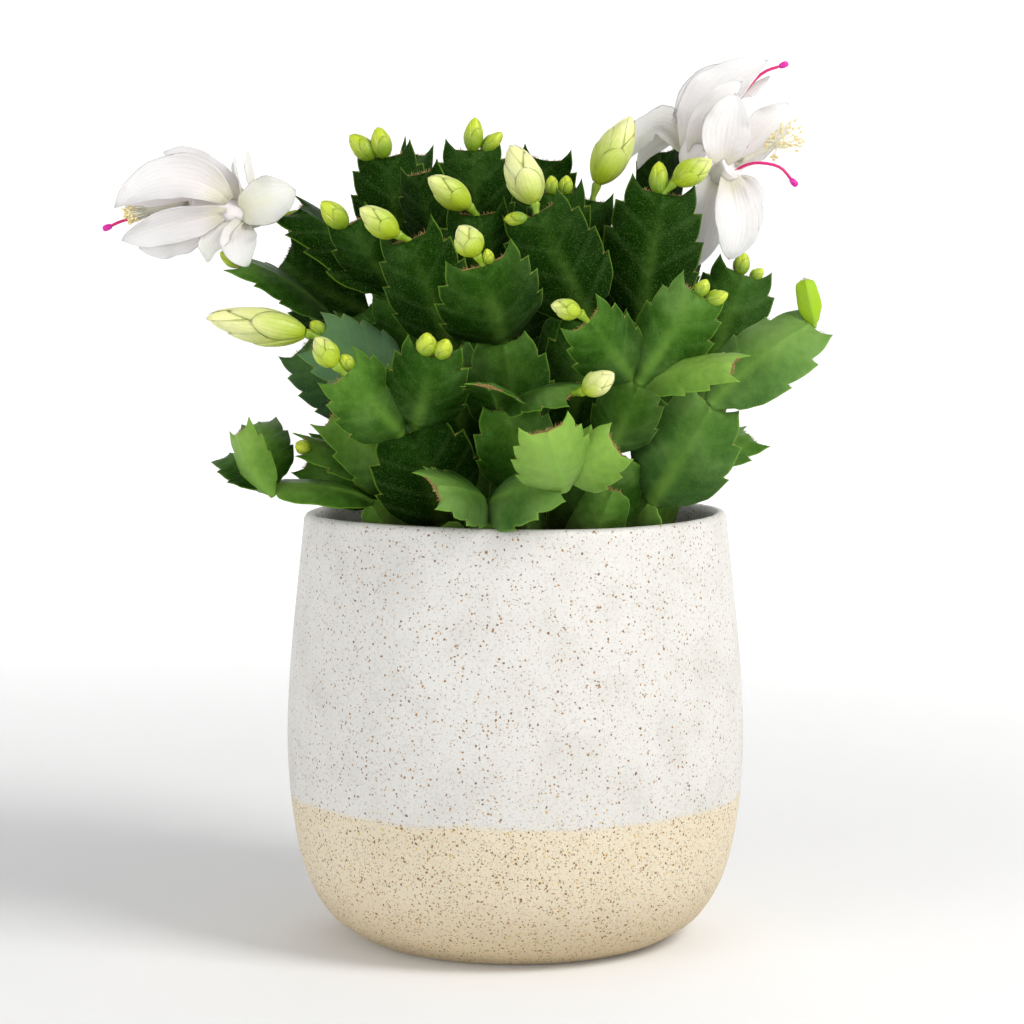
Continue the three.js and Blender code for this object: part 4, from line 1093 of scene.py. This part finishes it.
def petal_body(row, chance):
    """A petal as a blade along the parabola through its root, middle and tip.

    Its width is a power of the sine of the length share on a narrow foot; it is cupped across,
    creased along the middle, rolled back a little at its tip, and its edge waves.
    """
    root, through, tip = np.reshape(row[:9], (3, 3))
    width, *look, green = row[9:]
    look = facing(*look)
    handle = 2 * through - (root + tip) / 2
    even = np.linspace(0, 1, PETAL_STEPS)[:, None]
    q = (np.sin(np.linspace(0, np.pi / 2, PETAL_STEPS))[:, None] + even) / 2
    line = (1 - q) ** 2 * root + 2 * q * (1 - q) * handle + q**2 * tip
    axis = unit(2 * (1 - q) * (handle - root) + 2 * q * (tip - handle))
    normal = unit(look - axis * (axis @ look)[:, None])
    side = np.cross(axis, normal)
    a = np.concatenate([-PETAL_HALF[:0:-1], PETAL_HALF])[None, :]
    wide = 0.26 * (1 - q) ** 2 + 0.93 * np.clip(np.sin(np.pi * q**1.05), 0, 1) ** 0.75
    out = a * wide * width / 2
    wave = np.sin(2 * np.pi * (1.7 * q + chance)) + 0.5 * np.sin(2 * np.pi * (3.9 * q - 2 * chance))
    rise = PETAL_CUP * wide * width * (a**2 - 0.5) + 0.075 * width * wide * wave * np.abs(a) ** 3
    rise = rise - 0.03 * width * np.exp(-((a / 0.1) ** 2)) * (1 - q)
    rise = rise - 0.06 * width * np.clip(q - 0.75, 0, 1) ** 2 * 16
    middle = line[:, None] + out[..., None] * side[:, None] + rise[..., None] * normal[:, None]
    halves = 0.28 * np.sqrt(1 - a**2) * np.clip((1 - q) * 8, 0, 1) ** 0.5
    halves = halves * (0.7 + 0.6 * np.exp(-((a / 0.12) ** 2)))
    return blade(middle, normal[:, None] + 0 * middle, halves, (q, a, green))


def flower_tube(base, tip, root, mouth):
    """The fused foot of the petals: a fluted trumpet that opens a little at its mouth."""
    profile = [[0, 0], [root * 0.4, 0.01], [root * 0.75, 0.14], [root, 0.38]]
    profile = drawn_through(profile + [[mouth, 0.9], [mouth * 0.8, 0.99], [0, 0.92]], 4)
    return rod(profile, base, tip, TUBE_SIDES, 0.045, ends=(0.1, 0.7))


def thread(path, radius, sides, swell=([0, 1], [1, 1])):
    """A round thread through points: rings square to the path, swelling by shares of its length."""
    line = drawn_through(path, 4)
    axis = unit(np.gradient(line, axis=0))
    aside = unit(np.cross(axis, [0.35, 0.85, 0.4]))
    ring = ring_of(turns(sides), aside[:, None], np.cross(axis, aside)[:, None])
    share = np.linspace(0, 1, len(line))
    r = radius * np.interp(share, *swell)
    r[[0, -1]] = 0
    points = (line[:, None] + r[:, None, None] * ring).reshape(-1, 3)
    place = kept([np.repeat(share, sides), 0, 0])
    return points, grid_faces(len(line), sides, closed=True), place


def stamen_sheaf(root, end, spread):
    """Threads that leave the tube in one column and fan out, each with a pollen bag at its end."""
    axis, normal, side, length = frame_of(root, end, 0, 0)
    bodies = []
    for k in range(STAMENS):
        turn, reach = k * GOLDEN_TURN, np.sqrt((k + 0.5) / STAMENS)
        out = ring_of(turn, side, normal)
        tip = end + out * reach * (spread + 1.0) + axis * spread * (3.4 * luck.random() - 2.9)
        start, mid = root + out * 0.7 * reach, root + axis * length * 0.6 + out * 0.95 * reach
        path = [start, mid, (mid + tip) / 2 + out * 0.25 * spread * reach, tip]
        bodies.append(thread(path, 0.15, 5))
        way = unit(axis + out * reach * 0.9 + 0.5 * (luck.random(3) - 0.5))
        points, faces, _ = rod(POLLEN_BAG, tip - way * 0.4, tip + way * 1.1, 6)
        bodies.append((points, faces, np.tile([0.5, 1.0, luck.random()], (len(points), 1))))
    return gathered(bodies)


def pistil_body(path):
    """The style through its points, and a stigma of six short lobes close round its end."""
    bodies = [thread(path, 0.5, 10, ([0, 0.1, 1], [0.8, 1, 1]))]
    axis, normal, side, _ = frame_of(path[-2], path[-1], 20, 30)
    for k in range(LOBES):
        out = ring_of(k * 2 * np.pi / LOBES, side, normal)
        start, end = path[-1] - axis * 1.5 + out * 0.3, path[-1] + axis * 1.9 + out * 0.5
        points, faces, _ = rod(LOBE, start, end, 8)
        bodies.append((points, faces, np.ones_like(points)))
    return gathered(bodies)


def petal_paper():
    """Papery white, with faint pinkish grey veins, a rosier throat and a greenish cream foot."""
    finish, place = new_finish("petal_paper")
    along, across, green = kept_share(place, "place")
    cloud = (place.grain(130, 3.0) - 0.5) * 0.3
    foot = (along + cloud).between(0.3, 0.02)
    paper = along.between(0.1, 0.8).mix(THROAT_ROSE, PAPER_WHITE)
    vein = (across * 30.0).math("SINE").between(0.1, 1.0)
    crease = across.math("ABSOLUTE").between(0.16, 0.0)
    green = green * place.grain(90, 3.0).between(0.2, 0.75)
    coats = (vein * 0.05, VEIN_PINK), (crease * 0.12, CREASE_PINK)
    coats += (green * 0.6, OLD_GREEN), (foot * 0.55, FOOT_CREAM)
    relief = vein * 0.5 + place.grain(700, 3.0)
    return dressed(finish, {
        "Base Color": paper.under(*coats),
        "Roughness": 0.45,
        "Sheen Weight": 0.15,
        "Normal": relief.raised(0.0001),
        **sunk_light(0.5, (1.0, 0.85, 0.8), 0.003),
    })


def thread_finish(name, flesh, other, roughness):
    """Threads in one colour, with a second on the pollen bags or the pistil's lobes."""
    finish, place = new_finish(name)
    tone = kept_share(place, "place")[1].mix(flesh, other)
    return dressed(finish, {
        "Base Color": (place.grain(1500, 3.0) * 0.4).mix(tone, flesh),
        "Roughness": roughness,
        "Normal": place.grain(2500).raised(0.0001),
        **sunk_light(0.2, (1.0, 0.7, 0.4), 0.001),
    })


paper = petal_paper()
cream = thread_finish("stamen_cream", STAMEN_CREAM, POLLEN, 0.6)
magenta = thread_finish("pistil_magenta", STYLE_RED, LOBE_RED, 0.35)
for (part, *names), numbers in lines_of(FLOWERS):
    points = np.reshape(numbers[: len(numbers) // 3 * 3], (-1, 3))
    if names:
        name, joint = part, names[0]
    elif part == "tube":
        ovaries.append(ovary(joint, points[0], unit(points[1] - points[0])))
        corolla = [flower_tube(*points[:2], *numbers[6:])]
    elif part == "petal":
        corolla.append(petal_body(numbers, luck.random()))
    elif part == "stamens":
        petals = gathered(corolla)
        piece(name + "_corolla", petals, paper, "white_petals", [name + "_petals"], "place")
        sheaf = stamen_sheaf(*points[:2], numbers[6])
        piece(name + "_sheaf", sheaf, cream, "cream_stamens", [name + "_stamens"], "place")
    else:
        style = pistil_body(points)
        piece(name + "_style", style, magenta, "magenta_pistil", [name + "_pistil"], "place")
piece("ovaries", gathered(ovaries), young_tepal, "green_flesh", [], "place")

# The studio: one white sheet for the floor that sweeps up all round as the backdrop, a large soft
# light high on the right in front, a weaker one on the left, and pale daylight from above.
SWEEP = [[0, 0], [0.8, 0], [1.5, 0], [1.9, 0.06], [2.2, 0.25], [2.4, 0.6], [2.45, 1.2], [2.45, 3]]
SHEET_SIDES = 96
SHEET_WHITE = (0.87, 0.87, 0.87, 1)
# Rows: name, place, size in metres, watts, colour. All are aimed at the rim of the pot.
LIGHTS = [
    ("key", (0.85, -0.62, 1.0), 0.5, 13, (1, 0.985, 0.96)),
    ("fill", (-1.2, -1.1, 0.4), 0.7, 6.2, (0.97, 0.985, 1)),
    ("rim", (0.2, 1.3, 1.2), 1.2, 4, (1, 1, 1)),
]
AIM_HIGH = 0.14
DAYLIGHT = (0.97, 0.985, 1, 1)
DAYLIGHT_STRENGTH = 0.2
CAMERA_PLACE = (-0.0011, -0.93, 0.2195)
CAMERA_DOWN = 4.92
CAMERA_LENS = 100


def backdrop():
    """The sheet's profile turned round the upright axis, seen from inside."""
    line = drawn_through(SWEEP, 6)
    points = turned(line[:, :1], turns(SHEET_SIDES), line[:, 1:]).reshape(-1, 3)
    return points, grid_faces(len(line), SHEET_SIDES, closed=True)[:, ::-1]


def paper_sheet():
    """Matt white paper, which gives off a little light far from the pot."""
    finish, place = new_finish("paper_sheet")
    flat = place.made("VectorMath", (0, place), (1, (1, 1, 0)), operation="MULTIPLY")
    reach = place.made("VectorMath", (0, flat), operation="LENGTH", out="Value")
    low = reach.between(0.1, 1.15) * place.split()[2].between(0.95, 0.6)
    finish.cycles.emission_sampling = "NONE"
    return dressed(finish, {
        "Base Color": SHEET_WHITE,
        "Roughness": 0.9,
        "Specular IOR Level": 0,
        "Emission Color": (1, 1, 1, 1),
        "Emission Strength": low.from_to(0.04, 0.46),
    })


points, faces = backdrop()
sheet = bpy.data.meshes.new("floor")
sheet.from_pydata(points.tolist(), [], faces.tolist())
sheet.materials.append(paper_sheet())
floor = bpy.data.objects.new("floor", sheet)
scene = bpy.context.scene
scene.collection.objects.link(floor)

lens = bpy.data.cameras.new("camera")
lens.lens, lens.sensor_width, lens.clip_start, lens.clip_end = CAMERA_LENS, 36, 0.05, 20
camera = bpy.data.objects.new("camera", lens)
camera.location = CAMERA_PLACE
camera.rotation_euler = (np.radians(90 - CAMERA_DOWN), 0, 0)
scene.collection.objects.link(camera)
scene.camera = camera
for name, place, size, power, colour in LIGHTS:
    light = bpy.data.lights.new(name, "AREA")
    light.size, light.energy, light.color = size, power, colour
    lamp = bpy.data.objects.new(name, light)
    lamp.location = place
    x, y, z = np.array([0, 0, AIM_HIGH]) - place
    lamp.rotation_euler = (np.arctan2(np.hypot(x, y), -z), 0, np.arctan2(x, -y) + np.pi)
    scene.collection.objects.link(lamp)

world = bpy.data.worlds.new("daylight")
world.use_nodes = True
sky = world.node_tree.nodes["Background"].inputs
sky["Color"].default_value, sky["Strength"].default_value = DAYLIGHT, DAYLIGHT_STRENGTH
scene.world = world
scene.view_settings.view_transform = "Standard"
scene.cycles.use_light_tree = False
